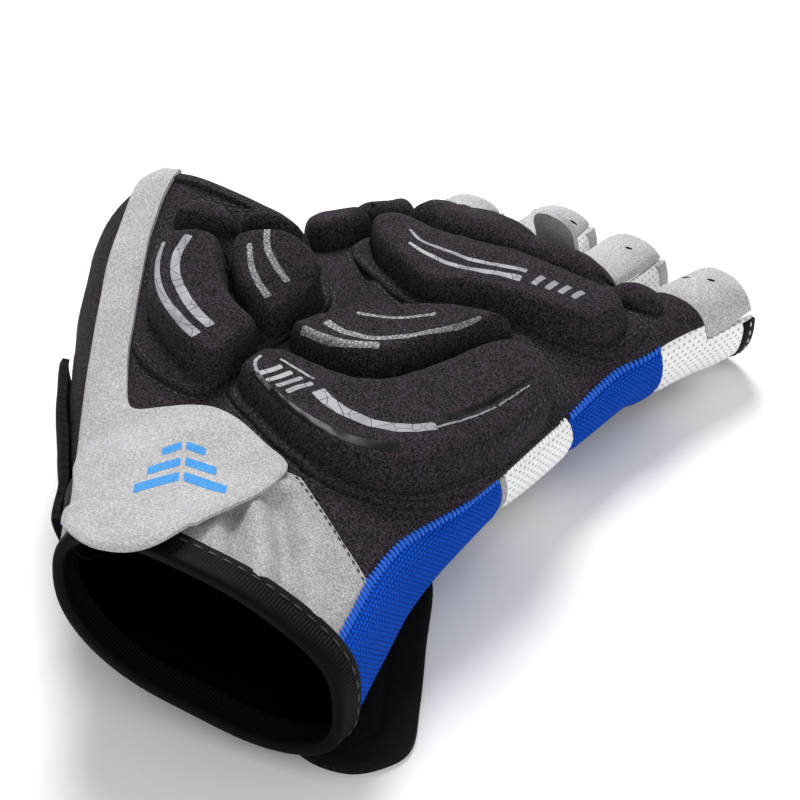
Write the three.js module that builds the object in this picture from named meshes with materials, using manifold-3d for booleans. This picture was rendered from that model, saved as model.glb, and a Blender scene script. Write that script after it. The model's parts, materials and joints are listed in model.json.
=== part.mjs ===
// Half-finger cycling glove for the left hand, lying palm up on its back.
// Millimetres. X runs from the thumb side to the little finger, Y from the wrist to the fingers, Z up.
import * as THREE from 'three';
import { mergeVertices } from 'three/addons/utils/BufferGeometryUtils.js';
import Module from 'manifold-3d';

const wasm = await Module();
wasm.setup();

// Driving sizes
const palmBreadth = 100;
const palmLength = 100;
const handDepth = 50;
const wall = 1.8;
const seamGap = 0.35;
const tapeThickness = 0.8;
const cuffTapeWidth = 6.5;
const fingerTapeWidth = 3.5;
const fingerWidth = 20.5;
const cuffSlant = 0.22;
const suedeThickness = 1.4;
const hemThickness = 1.2;
const padHeight = 7;
const padRound = 5;
const strapThickness = 2.4;
const pullThickness = 2;
const pullWidth = 12;
const pullHeight = 13;
const cuffFold = 4;

// Places on the glove: percent of the palm's breadth and length, and of the hand's depth
const across = (share) => share * palmBreadth / 100;
const along = (share) => share * palmLength / 100;
const up = (share) => share * handDepth / 100;

// Sections of the hand from the cuff to the finger roots
const handSections = [
  { along: -17.5, left: -23, right: 43, low: 14, high: 87, slant: 1, lean: 7, tilt: 14, lift: 0 },
  { along: -7, left: -31, right: 41, low: 12, high: 85, slant: 1, lean: 7, tilt: 13, lift: 0 },
  { along: 8, left: -44, right: 36.5, low: 9, high: 80, slant: 0.8, lean: 6, tilt: 9, lift: 0 },
  { along: 28, left: -54, right: 32.5, low: 7, high: 75, slant: 0.4, lean: 2, tilt: 4, lift: 0 },
  { along: 50, left: -62, right: 32, low: 5, high: 72, slant: 0.1, lean: 0, tilt: 1, lift: 0 },
  { along: 70, left: -70, right: 32, low: 2, high: 70, slant: 0, lean: 0, tilt: 1, lift: 2 },
  { along: 84, left: -75, right: 33, low: 0, high: 68, slant: 0, lean: 0, tilt: 3, lift: 6 },
  { along: 95, left: -68, right: 33.5, low: 0, high: 67, slant: 0, lean: 0, tilt: 6, lift: 10 },
  { along: 110, left: -61, right: 34.5, low: 0, high: 64, slant: 0, lean: 0, tilt: 6, lift: 12 },
  { along: 126, left: -54, right: 35.5, low: 2, high: 52, slant: 0, lean: 0, tilt: 3, lift: 9 },
];

// Half fingers: root and tip of each centre line, with the lowest and highest shares of the depth there
const fingers = [
  {
    name: 'index', rootX: -39, rootY: 113, tipX: -43, tipY: 150,
    rootLow: 1, tipLow: 1.6, rootHigh: 60, tipHigh: 46,
  },
  {
    name: 'middle', rootX: -17.5, rootY: 113, tipX: -20.5, tipY: 160,
    rootLow: 1, tipLow: 1.6, rootHigh: 58, tipHigh: 43,
  },
  {
    name: 'ring', rootX: 3, rootY: 113, tipX: 3, tipY: 158,
    rootLow: 1, tipLow: 1.6, rootHigh: 56, tipHigh: 42,
  },
  {
    name: 'little', rootX: 24, rootY: 112, tipX: 33, tipY: 149,
    rootLow: 12, tipLow: 5, rootHigh: 52, tipHigh: 44,
  },
];

// Sections of the thumb from inside the palm to its open end
const thumbSections = [
  { along: 0, left: -46, right: -8, low: 14, high: 72 },
  { along: 18, left: -66, right: -10, low: 9, high: 74 },
  { along: 34, left: -80, right: -20, low: 8, high: 80 },
  { along: 48, left: -91, right: -28, low: 10, high: 86 },
  { along: 62, left: -100, right: -32, low: 18, high: 91 },
  { along: 72, left: -103, right: -36, low: 30, high: 97 },
  { along: 83, left: -98, right: -47, low: 44, high: 105 },
];

// Seams: the grey strip and its tab, the wrist gore, and where the palm ends at the fingers
const stripAndTab = [
  { across: -101, along: 89 }, { across: -99, along: 80 }, { across: -93, along: 70 },
  { across: -90, along: 61 }, { across: -83, along: 53 }, { across: -74, along: 41 },
  { across: -68, along: 31 }, { across: -60, along: 20 }, { across: -52, along: 11 },
  { across: -44, along: 2 }, { across: -36, along: -8 }, { across: -27, along: -17 },
  { across: -18, along: -21 }, { across: -8, along: -20.5 }, { across: 0, along: -15 },
  { across: 1.5, along: -6 }, { across: 0.5, along: 6 }, { across: 1.5, along: 21 },
  { across: -5, along: 26.5 }, { across: -14, along: 28.5 }, { across: -22, along: 29.5 },
  { across: -32, along: 27 }, { across: -39, along: 22 }, { across: -44, along: 21 },
  { across: -52, along: 26 }, { across: -60, along: 37 }, { across: -66, along: 48 },
  { across: -74, along: 60 }, { across: -80, along: 71 }, { across: -85, along: 80 },
  { across: -88, along: 89 },
];
const wristGore = [
  { across: -34, along: -34 }, { across: -30, along: 8 }, { across: -14, along: 20 },
  { across: 4, along: 23 }, { across: 12, along: 19.5 }, { across: 22, along: 15 },
  { across: 36, along: 10 }, { across: 60, along: 4 }, { across: 60, along: -34 },
];
const thumbSeam = [
  { across: -120, along: -34 }, { across: -34, along: -34 }, { across: -30, along: 8 },
  { across: -24, along: 30 }, { across: -23.5, along: 60 }, { across: -32, along: 76 },
  { across: -44, along: 84.5 }, { across: -120, along: 84.5 },
];
const thumbBackSeam = [
  { across: -120, along: -34 }, { across: -28, along: -34 }, { across: -38, along: 10 },
  { across: -46, along: 40 }, { across: -52, along: 78 }, { across: -78, along: 100 },
  { across: -120, along: 110 },
];
const fingerRootLine = 130;
const littleRootLine = 119;
const sideSeam = [
  { along: -40, low: 22, high: 64 }, { along: 0, low: 15, high: 60 }, { along: 25, low: 14, high: 56 },
  { along: 44, low: 14, high: 49 }, { along: 60, low: 14, high: 46 }, { along: 86, low: 17, high: 44 },
  { along: 108, low: 19, high: 44 }, { along: 122, low: 18, high: 44 }, { along: 170, low: 14, high: 35 },
];
const sideInner = [
  { across: 14, along: -40 }, { across: 14, along: 95 }, { across: 22, along: 112 },
  { across: 33, along: 150 }, { across: 33, along: 175 }, { across: 90, along: 175 },
  { across: 90, along: -40 },
];
const backSeamThumb = [
  { along: -40, up: 48 }, { along: 0, up: 50 }, { along: 30, up: 56 }, { along: 60, up: 68 },
  { along: 74, up: 82 }, { along: 83, up: 84 }, { along: 86, up: 40 }, { along: 100, up: 27 },
  { along: 126, up: 22 }, { along: 175, up: 18 },
];
const backSeamLeft = [
  { along: -40, up: 48 }, { along: 0, up: 50 }, { along: 30, up: 42 }, { along: 86, up: 40 },
  { along: 100, up: 27 }, { along: 126, up: 22 }, { along: 175, up: 18 },
];
const backSeamRight = [{ along: -40, up: 30 }, { along: 122, up: 26 }, { along: 175, up: 18 }];
const sideSeams = [
  { name: 'side_blue_wrist', from: -40, to: 58, colour: 'blueMesh' },
  { name: 'side_piping', from: 58, to: 60, colour: 'piping' },
  { name: 'side_white_knuckle', from: 60, to: 85, colour: 'whiteMesh' },
  { name: 'side_blue_knuckle', from: 85, to: littleRootLine, colour: 'blueMesh' },
];

// Gel pads: each sheet's sewn hem, and the raised lumps under it
const padSheets = [
  {
    name: 'thenar_pad',
    hem: [
      { across: -78, along: 72 }, { across: -74, along: 59 }, { across: -68, along: 47.5 },
      { across: -62, along: 38 }, { across: -55, along: 32 }, { across: -44, along: 28.5 },
      { across: -32, along: 29 }, { across: -25.5, along: 34 }, { across: -24.5, along: 50 },
      { across: -25, along: 65 }, { across: -34, along: 74 }, { across: -46, along: 80 },
      { across: -60, along: 80 }, { across: -72, along: 79 },
    ],
    lumps: [
      [
        { across: -65, along: 61 }, { across: -61, along: 53 }, { across: -57, along: 44 },
        { across: -51, along: 37.5 }, { across: -42, along: 33.5 }, { across: -33, along: 33 },
        { across: -28, along: 37 }, { across: -28, along: 47 }, { across: -36, along: 52 },
        { across: -43, along: 55 }, { across: -49, along: 61 }, { across: -53, along: 67 },
        { across: -60, along: 68 },
      ],
      [
        { across: -53, along: 74 }, { across: -49.5, along: 66 }, { across: -44.5, along: 60 },
        { across: -38, along: 56.5 }, { across: -31, along: 54.5 }, { across: -27, along: 57 },
        { across: -29, along: 64 }, { across: -37, along: 70.5 }, { across: -44, along: 77 },
        { across: -49, along: 78.5 },
      ],
      [
        { across: -71, along: 66 }, { across: -70, along: 73 }, { across: -64, along: 76.5 },
        { across: -57, along: 76 }, { across: -57.5, along: 72 }, { across: -64, along: 71 },
      ],
    ],
  },
  {
    name: 'heel_pad',
    hem: [
      { across: -24, along: 66 }, { across: -23, along: 50 }, { across: -22, along: 34 },
      { across: -12, along: 29.5 }, { across: 1, along: 26.5 }, { across: 13, along: 26 },
      { across: 22, along: 31 }, { across: 29, along: 40 }, { across: 31, along: 54 },
      { across: 31, along: 68 }, { across: 29, along: 82 }, { across: 20, along: 91 },
      { across: 6, along: 92.5 }, { across: -8, along: 90 }, { across: -18, along: 80 },
    ],
    lumps: [
      [
        { across: -20.5, along: 47.5 }, { across: -20, along: 36 }, { across: -8, along: 31.5 },
        { across: 4, along: 30 }, { across: 15, along: 30.5 }, { across: 22, along: 40 },
        { across: 26, along: 54 }, { across: 26.5, along: 68 }, { across: 25, along: 79 },
        { across: 20, along: 84 }, { across: 15, along: 79 }, { across: 12, along: 68 },
        { across: 8, along: 56 }, { across: 0, along: 48.5 }, { across: -10, along: 46.5 },
      ],
      [
        { across: -20, along: 63 }, { across: -20, along: 53 }, { across: -10, along: 51 },
        { across: -1, along: 53 }, { across: 5, along: 61 }, { across: 9, along: 72 },
        { across: 12, along: 84 }, { across: 5, along: 87 }, { across: -4, along: 82 },
        { across: -13, along: 73 },
      ],
    ],
  },
  {
    name: 'knuckle_pad',
    hem: [
      { across: -43, along: 106 }, { across: -36, along: 94 }, { across: -24, along: 84.5 },
      { across: -14, along: 86 }, { across: -7, along: 94 }, { across: 8, along: 96.5 },
      { across: 20, along: 96 }, { across: 29, along: 98 }, { across: 31, along: 110 },
      { across: 29, along: 118 }, { across: 16, along: 118 }, { across: 0, along: 116 },
      { across: -20, along: 112 }, { across: -36, along: 114 },
    ],
    lumps: [
      [
        { across: -38, along: 104 }, { across: -31, along: 94 }, { across: -21, along: 89.5 },
        { across: -11, along: 90 }, { across: -4, along: 97 }, { across: 8, along: 100 },
        { across: 22, along: 100.5 }, { across: 27, along: 104 }, { across: 26, along: 112 },
        { across: 14, along: 113 }, { across: -2, along: 110 }, { across: -16, along: 106 },
        { across: -30, along: 108.5 },
      ],
    ],
  },
  {
    name: 'index_pad_lower',
    hem: null,
    lumps: [
      [
        { across: -56, along: 100 }, { across: -50, along: 93.5 }, { across: -43, along: 94.5 },
        { across: -43.5, along: 99 }, { across: -48, along: 104.5 }, { across: -54, along: 105 },
      ],
    ],
  },
  {
    name: 'index_pad_upper',
    hem: null,
    lumps: [
      [
        { across: -54, along: 112 }, { across: -48, along: 109 }, { across: -44, along: 114 },
        { across: -44, along: 120 }, { across: -51, along: 121 },
      ],
    ],
  },
  {
    name: 'crease_pad',
    hem: null,
    lumps: [
      [
        { across: -36, along: 123 }, { across: -25, along: 118 }, { across: -8, along: 120.5 },
        { across: 12, along: 122 }, { across: 14, along: 127 }, { across: -12, along: 127.5 },
        { across: -31, along: 127.5 },
      ],
    ],
  },
];

// The strap lies round the back of the wrist; its free end runs out flat beside the little finger edge
const strapFrom = -9;
const strapTo = 37;
const strapBack = [{ along: -40, up: 34 }, { along: 0, up: 40 }, { along: 40, up: 52 }];
const strapUnder = [{ along: -40, up: 12 }, { along: 60, up: 12 }];
const strapEnd = 24;
const strapTongue = [
  { across: 14, along: -9 }, { across: 30, along: -14.5 }, { across: 41, along: -13 },
  { across: 47, along: -7 }, { across: 48.5, along: 0 }, { across: 43, along: 10 },
  { across: 34, along: 24 }, { across: 22, along: 42 }, { across: 14, along: 40 },
];

// Root of the pull tab, between the middle finger and the ring finger
const pullRoot = { across: -13, along: 132 };

const colours = {
  blackSuede: 0x2c282e,
  greySuede: 0xcbcacb,
  knit: 0x2d373e,
  whiteMesh: 0xebebeb,
  blueMesh: 0x1455cb,
  piping: 0x969899,
  tape: 0x141417,
};

const asSolid = (geometry) => {
  const clean = geometry.clone();
  clean.deleteAttribute('normal');
  clean.deleteAttribute('uv');
  const merged = mergeVertices(clean, 1e-5);
  return new wasm.Manifold(new wasm.Mesh({
    numProp: 3,
    vertProperties: new Float32Array(merged.attributes.position.array),
    triVerts: new Uint32Array(merged.index.array),
  }));
};

const asGeometry = (solid) => {
  const mesh = solid.getMesh();
  const geometry = new THREE.BufferGeometry();
  geometry.setAttribute('position', new THREE.BufferAttribute(mesh.vertProperties, 3));
  geometry.setIndex(new THREE.BufferAttribute(mesh.triVerts, 1));
  geometry.computeVertexNormals();
  return geometry;
};

// A closed solid through rings of points, each ring the same count; its ends are filled as seen along an axis
const loft = (rings, flat = (point) => new THREE.Vector2(point.x, point.z)) => {
  const count = rings[0].length;
  const points = rings.flat();
  const index = [];
  rings.slice(1).forEach((ring, r) => {
    ring.forEach((point, i) => {
      const a = r * count + i;
      const b = r * count + (i + 1) % count;
      index.push(a, b, b + count, a, b + count, a + count);
    });
  });
  const closeEnd = (ring, first, flip) => {
    const outline = ring.map(flat);
    const turn = Math.sign(THREE.ShapeUtils.area(outline)) * (flip ? -1 : 1);
    THREE.ShapeUtils.triangulateShape(outline, []).forEach((face) => {
      const faceTurn = Math.sign(THREE.ShapeUtils.area(face.map((i) => outline[i])));
      const way = faceTurn === turn ? face : [...face].reverse();
      index.push(...way.map((i) => first + i));
    });
  };
  closeEnd(rings[0], 0, true);
  closeEnd(rings[rings.length - 1], (rings.length - 1) * count, false);
  const geometry = new THREE.BufferGeometry().setFromPoints(points);
  geometry.setIndex(index);
  return asSolid(geometry);
};

const roundness = (value, power) => Math.sign(value) * Math.abs(value) ** (2 / power);

// One ring of the hand's tube, moved along the hand and grown outward
const handSides = 26;
const handPower = 2.5;
const handRing = (row, grow, shift) => {
  const left = across(row.left) - grow;
  const right = across(row.right) + grow;
  const low = up(row.low) - grow;
  const high = up(row.high) + grow;
  return Array.from({ length: handSides }, (unused, k) => {
    const turn = -2 * Math.PI * k / handSides;
    const aside = roundness(Math.cos(turn), handPower);
    const rise = (1 + roundness(Math.sin(turn), handPower)) / 2;
    const x = (left + right) / 2 + aside * (right - left) / 2;
    const z = low + rise * (high - low) - up(row.tilt) * aside
      + up(row.lift) * Math.max(aside, 0) ** 2 * (1 - rise);
    const lean = along(row.lean) * (z - up(row.high)) / up(row.high - row.low);
    return new THREE.Vector3(x, along(row.along) + shift + cuffSlant * row.slant * x + lean, z);
  });
};

// A reach draws the open end out past the real edge, for a cutter that goes right through it
const handTube = (grow, reach) => loft(
  handSections.map((row, i) => handRing(row, grow, i === 0 ? -reach : 0)),
);

const ovalRing = (centre, side, halfWide, halfHigh, sides, power) => Array.from(
  { length: sides },
  (unused, k) => {
    const turn = -2 * Math.PI * k / sides;
    return centre.clone()
      .addScaledVector(side, roundness(Math.cos(turn), power) * halfWide)
      .add(new THREE.Vector3(0, 0, roundness(Math.sin(turn), power) * halfHigh));
  },
);

const fingerSides = 14;
const fingerSteps = 3;
const fingerPower = 2.6;
const fingerLine = (row) => {
  const root = new THREE.Vector2(across(row.rootX), along(row.rootY));
  const tip = new THREE.Vector2(across(row.tipX), along(row.tipY));
  const way = tip.clone().sub(root).normalize();
  return { root, tip, way, side: new THREE.Vector2(way.y, -way.x) };
};
const fingerTube = (row, grow, reach) => {
  const { root, tip, way, side } = fingerLine(row);
  return loft(Array.from({ length: fingerSteps + 1 }, (unused, i) => {
    const t = i / fingerSteps;
    const spot = root.clone().lerp(tip, t).addScaledVector(way, i === fingerSteps ? reach : 0);
    const low = up(THREE.MathUtils.lerp(row.rootLow, row.tipLow, t));
    const high = up(THREE.MathUtils.lerp(row.rootHigh, row.tipHigh, t));
    const centre = new THREE.Vector3(spot.x, spot.y, (low + high) / 2);
    return ovalRing(centre, new THREE.Vector3(side.x, side.y, 0), fingerWidth / 2 + grow,
      (high - low) / 2 + grow, fingerSides, fingerPower);
  }));
};

const thumbSides = 20;
const thumbPower = 2.3;
const thumbTube = (grow, reach) => loft(thumbSections.map((row, i) => {
  const last = i === thumbSections.length - 1;
  const centre = new THREE.Vector3(
    across(row.left + row.right) / 2,
    along(row.along) + (last ? reach : 0),
    up(row.low + row.high) / 2,
  );
  return ovalRing(centre, new THREE.Vector3(1, 0, 0), across(row.right - row.left) / 2 + grow,
    up(row.high - row.low) / 2 + grow, thumbSides, thumbPower);
}));

const join = (solids) => solids.reduce((sum, solid) => sum.add(solid));
const body = (grow, cuffReach, tipReach) => join([
  handTube(grow, cuffReach),
  thumbTube(grow, tipReach),
  ...fingers.map((row) => fingerTube(row, grow, tipReach)),
]);

const pair = (x, y) => new THREE.Vector2(x, y);

// Cutters: an outline seen from above or from the side, drawn out to a prism
const far = 160;
const spots = (rows) => rows.map((row) => new THREE.Vector2(across(row.across), along(row.along)));
const rounded = (points, count) => new THREE.CatmullRomCurve3(
  points.map((point) => new THREE.Vector3(point.x, point.y, 0)), true, 'centripetal',
).getSpacedPoints(count).slice(0, count).map((point) => new THREE.Vector2(point.x, point.y));
const widened = (points, distance) => {
  const turn = Math.sign(THREE.ShapeUtils.area(points));
  return points.map((point, i) => {
    const before = points[(i + points.length - 1) % points.length];
    const after = points[(i + 1) % points.length];
    const a = point.clone().sub(before).normalize();
    const b = after.clone().sub(point).normalize();
    const out = new THREE.Vector2(a.y + b.y, -a.x - b.x);
    const reach = 2 * distance * turn / Math.max(out.lengthSq(), 1);
    return point.clone().addScaledVector(out, reach);
  });
};
const prism = (points, from, to) => {
  const shape = new THREE.Shape(points);
  const geometry = new THREE.ExtrudeGeometry(shape, { depth: to - from, bevelEnabled: false });
  geometry.translate(0, 0, from);
  return geometry;
};
const fromAbove = (points, from = -far, to = far) => asSolid(prism(points, from, to));
const fromSide = (points, from = -far, to = far) => {
  const geometry = prism(points, from, to);
  geometry.applyMatrix4(new THREE.Matrix4().makeBasis(
    new THREE.Vector3(0, 1, 0), new THREE.Vector3(0, 0, 1), new THREE.Vector3(1, 0, 0),
  ));
  return asSolid(geometry);
};
const slab = (from, to) => fromSide([
  new THREE.Vector2(from, -far), new THREE.Vector2(to, -far), new THREE.Vector2(to, far),
  new THREE.Vector2(from, far),
]);

const aboveFloor = (height) => fromSide([
  pair(-far, height), pair(far * 2, height), pair(far * 2, far), pair(-far, far),
]);

// Pieces end at the floor they lie on; of the crumbs that a cut can leave, only the panel is kept,
// and edges too short to matter are merged
const shortestEdge = 0.04;
const group = new THREE.Group();
const add = (name, solid, colour) => {
  const [panel] = solid.intersect(aboveFloor(0)).decompose().sort((a, b) => b.volume() - a.volume());
  const material = new THREE.MeshStandardMaterial({ color: colour, roughness: 0.9, metalness: 0 });
  const mesh = new THREE.Mesh(asGeometry(panel.simplify(shortestEdge)), material);
  mesh.name = name;
  group.add(mesh);
};

// The glove's shell, hollow and open at the cuff and at every finger
const cutReach = 8;
const outer = body(0, 0, 0);
const inner = body(-wall, cutReach, cutReach).intersect(aboveFloor(wall));
const clear = body(seamGap, 0, 0);
let rest = outer.subtract(inner);

// Takes a region out of the shell and leaves a seam's gap round it
const take = (region, grownRegion) => {
  const piece = rest.intersect(region);
  rest = rest.subtract(grownRegion);
  return piece;
};

// Cuff tape: folded over the open edge, so it stands proud inside and outside
const cuffZone = (to) => loft([handRing(handSections[0], far, -far), handRing(handSections[0], far, to)]);
const tape = (tubeOf, zone) => tubeOf(tapeThickness, 0)
  .subtract(tubeOf(-wall - tapeThickness, cutReach))
  .intersect(zone);
rest = rest.subtract(cuffZone(cuffTapeWidth + seamGap));
add('cuff_binding', tape(handTube, cuffZone(cuffTapeWidth)), colours.tape);

// Each finger stall: a suede face, and a mesh back and sides that end in a tape
const stallZone = (row, i, grow) => {
  const line = fingerLine(row);
  const before = i > 0 ? fingerLine(fingers[i - 1]) : null;
  const after = i < fingers.length - 1 ? fingerLine(fingers[i + 1]) : null;
  const root = along(fingerRootLine) - grow;
  const between = (a, b) => [a.root.clone().lerp(b.root, 0.5), a.tip.clone().lerp(b.tip, 0.5)];
  const edge = ([a, b], y) => a.x + (b.x - a.x) * (y - a.y) / (b.y - a.y);
  const left = before ? between(before, line) : [pair(-far, 0), pair(-far, 1)];
  const right = after ? between(line, after) : [pair(far, 0), pair(far, 1)];
  return [
    pair(edge(left, root), root), pair(edge(right, root), root),
    pair(edge(right, far + root), far + root), pair(edge(left, far + root), far + root),
  ];
};
const faceShare = 0.8;
const stallFace = (row, grow) => {
  const { root, tip, way, side } = fingerLine(row);
  const half = fingerWidth * faceShare / 2 + grow;
  const start = root.clone();
  const end = tip.clone().addScaledVector(way, far);
  return fromAbove([
    start.clone().addScaledVector(side, -half), start.clone().addScaledVector(side, half),
    end.clone().addScaledVector(side, half), end.clone().addScaledVector(side, -half),
  ], up((row.tipLow + row.tipHigh) / 2) + wall, far);
};
const tipZone = (row, width) => {
  const { tip, way, side } = fingerLine(row);
  const start = tip.clone().addScaledVector(way, -width);
  const end = tip.clone().addScaledVector(way, far);
  return fromAbove([
    start.clone().addScaledVector(side, -far), start.clone().addScaledVector(side, far),
    end.clone().addScaledVector(side, far), end.clone().addScaledVector(side, -far),
  ]);
};
const sideBand = [
  ...sideSeam.map((row) => pair(along(row.along), up(row.high))),
  ...sideSeam.map((row) => pair(along(row.along), up(row.low))).reverse(),
];
const sideZone = (grow) => fromSide(widened(sideBand, grow)).intersect(fromAbove(spots(sideInner)));
const stallSide = sideZone(0);
const stallSideGrown = sideZone(seamGap);

fingers.forEach((row, i) => {
  const stall = fromAbove(stallZone(row, i, 0));
  const stallGrown = fromAbove(stallZone(row, i, seamGap));
  const little = i === fingers.length - 1;
  const side = stallSide.intersect(slab(along(littleRootLine), far));
  const sideGrown = stallSideGrown.intersect(slab(along(littleRootLine) - seamGap, far));
  const zone = little ? stall.add(side) : stall;
  const whole = take(zone, little ? stallGrown.add(sideGrown) : stallGrown);
  add(`finger_front_${row.name}`, whole.intersect(stallFace(row, 0)).intersect(stall), colours.greySuede);
  const around = zone.subtract(stallFace(row, seamGap));
  const mesh = whole.intersect(around).subtract(tipZone(row, fingerTapeWidth + seamGap));
  add(`finger_mesh_${row.name}`, mesh, colours.whiteMesh);
  const tapeOf = (grow, reach) => fingerTube(row, grow, reach);
  const tipTape = tape(tapeOf, tipZone(row, fingerTapeWidth).intersect(around));
  add(`finger_binding_${row.name}`, tipTape, colours.tape);
});

// The little finger edge: gussets and a piping between two side seams
sideSeams.forEach((part) => {
  const piece = take(
    stallSide.intersect(slab(along(part.from), along(part.to))),
    stallSideGrown.intersect(slab(along(part.from) - seamGap, along(part.to) + seamGap)),
  );
  add(part.name, piece, colours[part.colour]);
});

// Back of the hand and outer side of the thumb, below the side seams
const under = (rows, grow, from, to) => fromSide([
  pair(-far, -far), ...[pair(-far, up(rows[0].up) + grow)],
  ...rows.map((row) => pair(along(row.along), up(row.up) + grow)),
  pair(far * 1.5, up(rows[rows.length - 1].up) + grow), pair(far * 1.5, -far),
], from, to);
const middleLine = across(-12);
const thumbLine = across(-57);
const backZone = (grow) => join([
  under(backSeamThumb, grow, -far, thumbLine),
  under(backSeamLeft, grow, thumbLine, middleLine),
  under(backSeamRight, grow, middleLine, far),
]);
const thumbBackZone = (grow) => fromAbove(widened(spots(thumbBackSeam), grow));
const backAll = take(backZone(0), backZone(seamGap));
add('thumb_back_panel', backAll.intersect(thumbBackZone(0)), colours.knit);
add('back_panel', backAll.subtract(thumbBackZone(seamGap)), colours.knit);

// Palm side: the wrist gore, the thumb's face and the palm
add('wrist_gore', take(fromAbove(spots(wristGore)), fromAbove(widened(spots(wristGore), seamGap))),
  colours.greySuede);
add('thumb_palm_panel', take(fromAbove(spots(thumbSeam)), fromAbove(widened(spots(thumbSeam), seamGap))),
  colours.blackSuede);
add('palm_panel', rest, colours.blackSuede);

// Layers sewn on top follow the body's own surface
const palmFaceLow = up(41);
const layer = (thickness, cuffReach) => body(seamGap + thickness, cuffReach, 0)
  .subtract(body(seamGap, cuffReach, 0));
const stripPoints = 44;
const stripOutline = rounded(spots(stripAndTab), stripPoints);
const overCuffTape = handTube(tapeThickness + seamGap, 0).intersect(cuffZone(cuffTapeWidth + seamGap));
add(
  'thumb_strip_and_tab',
  layer(suedeThickness, cuffFold).intersect(fromAbove(stripOutline, palmFaceLow)).subtract(overCuffTape),
  colours.greySuede,
);

// Gel pads: a flat sewn hem with rounded lumps
const heights = outer.getMesh();
const surfaceAt = (x, y) => {
  const { vertProperties: v, triVerts: t } = heights;
  let best = 0;
  for (let i = 0; i < t.length; i += 3) {
    const [a, b, c] = [t[i] * 3, t[i + 1] * 3, t[i + 2] * 3];
    const area = (v[b] - v[a]) * (v[c + 1] - v[a + 1]) - (v[c] - v[a]) * (v[b + 1] - v[a + 1]);
    if (Math.abs(area) > 1e-9) {
      const p = ((x - v[a]) * (v[c + 1] - v[a + 1]) - (v[c] - v[a]) * (y - v[a + 1])) / area;
      const q = ((v[b] - v[a]) * (y - v[a + 1]) - (x - v[a]) * (v[b + 1] - v[a + 1])) / area;
      if (p >= 0 && q >= 0 && p + q <= 1) {
        best = Math.max(best, v[a + 2] + p * (v[b + 2] - v[a + 2]) + q * (v[c + 2] - v[a + 2]));
      }
    }
  }
  return best;
};
const lumpSunk = 4;
const lumpPoints = 18;
const hemPoints = 22;
const lumpSteps = [
  { inset: 0, rise: 0.1 }, { inset: 0.2, rise: 0.65 }, { inset: 0.7, rise: 1 },
];
const crossed = (loop) => loop.some((a, i) => loop.some((c, j) => {
  const b = loop[(i + 1) % loop.length];
  const d = loop[(j + 1) % loop.length];
  const apart = (i - j + loop.length) % loop.length;
  const side = (p, q, r) => Math.sign((q.x - p.x) * (r.y - p.y) - (q.y - p.y) * (r.x - p.x));
  const near = apart < 2 || apart === loop.length - 1;
  return !near && side(a, b, c) !== side(a, b, d) && side(c, d, a) !== side(c, d, b);
}));
const lump = (rows) => {
  const outline = rounded(spots(rows), lumpPoints);
  const loop = THREE.ShapeUtils.area(outline) < 0 ? outline.reverse() : outline;
  const innermost = lumpSteps[lumpSteps.length - 1].inset;
  const fits = (round) => {
    const ring = widened(loop, -innermost * round);
    return THREE.ShapeUtils.area(ring) > 0 && !crossed(ring);
  };
  const round = [1, 0.8, 0.6, 0.4, 0.2].map((share) => share * padRound).find(fits);
  const ringAt = (inset, lift) => widened(loop, -inset).map((point) => new THREE.Vector3(
    point.x, point.y, surfaceAt(point.x, point.y) + lift,
  ));
  const hemMiddle = seamGap + hemThickness / 2;
  return loft([
    ringAt(0, -lumpSunk),
    ...lumpSteps.map((step) => ringAt(step.inset * round, hemMiddle + step.rise * padHeight)),
  ], (point) => new THREE.Vector2(point.x, point.y));
};
const padLayer = layer(hemThickness, 0);
const besideStrip = fromAbove(widened(stripOutline, seamGap));
padSheets.forEach((sheet) => {
  const lumps = join(sheet.lumps.map(lump)).subtract(clear);
  const hem = sheet.hem && fromAbove(rounded(spots(sheet.hem), hemPoints), palmFaceLow);
  const sewn = hem ? padLayer.intersect(hem).add(lumps) : lumps;
  add(sheet.name, sewn.subtract(besideStrip).subtract(stallSideGrown), colours.blackSuede);
});

// Wrist strap
const tonguePoints = 24;
const strapZone = slab(along(strapFrom), along(strapTo)).intersect(
  under(strapBack, 0, -far, middleLine).add(under(strapUnder, 0, middleLine, across(strapEnd))),
);
const strapWrap = layer(strapThickness, 0).intersect(strapZone);
const tongue = fromAbove(rounded(spots(strapTongue), tonguePoints), 0, strapThickness);
add('wrist_strap', strapWrap.add(tongue).subtract(clear), colours.tape);

// Pull tab that stands at the middle finger's root
const pullSunk = 3;
const [pullCentre] = spots([pullRoot]);
const pullShape = new THREE.Shape();
pullShape.moveTo(-pullWidth / 2, -pullSunk);
pullShape.lineTo(pullWidth / 2, -pullSunk);
pullShape.lineTo(pullWidth / 2, pullHeight - pullWidth / 2);
pullShape.absarc(0, pullHeight - pullWidth / 2, pullWidth / 2, 0, Math.PI, false);
const pullGeometry = new THREE.ExtrudeGeometry(
  pullShape,
  { depth: pullThickness, bevelEnabled: false, curveSegments: 8 },
);
pullGeometry.rotateX(Math.PI / 2);
pullGeometry.translate(pullCentre.x, pullCentre.y, surfaceAt(pullCentre.x, pullCentre.y));
add('finger_pull_tab', asSolid(pullGeometry).subtract(clear), colours.greySuede);

// Origin at the middle of the underside
const box = new THREE.Box3().setFromObject(group);
const middle = box.getCenter(new THREE.Vector3());
group.position.set(-middle.x, -middle.y, -box.min.z);

export default group;
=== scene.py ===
# %% [markdown]
# A half-finger cycling glove for the left hand, lying palm up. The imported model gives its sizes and
# places, and this script makes the cloth, suede and padding that are seen. All tables are in
# millimetres, in the hand's own frame: X from the thumb to the little finger, Y from the wrist to the
# fingers, Z up out of the palm.

# %% Load the frame
import json
import math

import bpy
import numpy as np
from mathutils import Matrix, Vector
from mathutils.bvhtree import BVHTree
from mathutils.kdtree import KDTree


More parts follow.
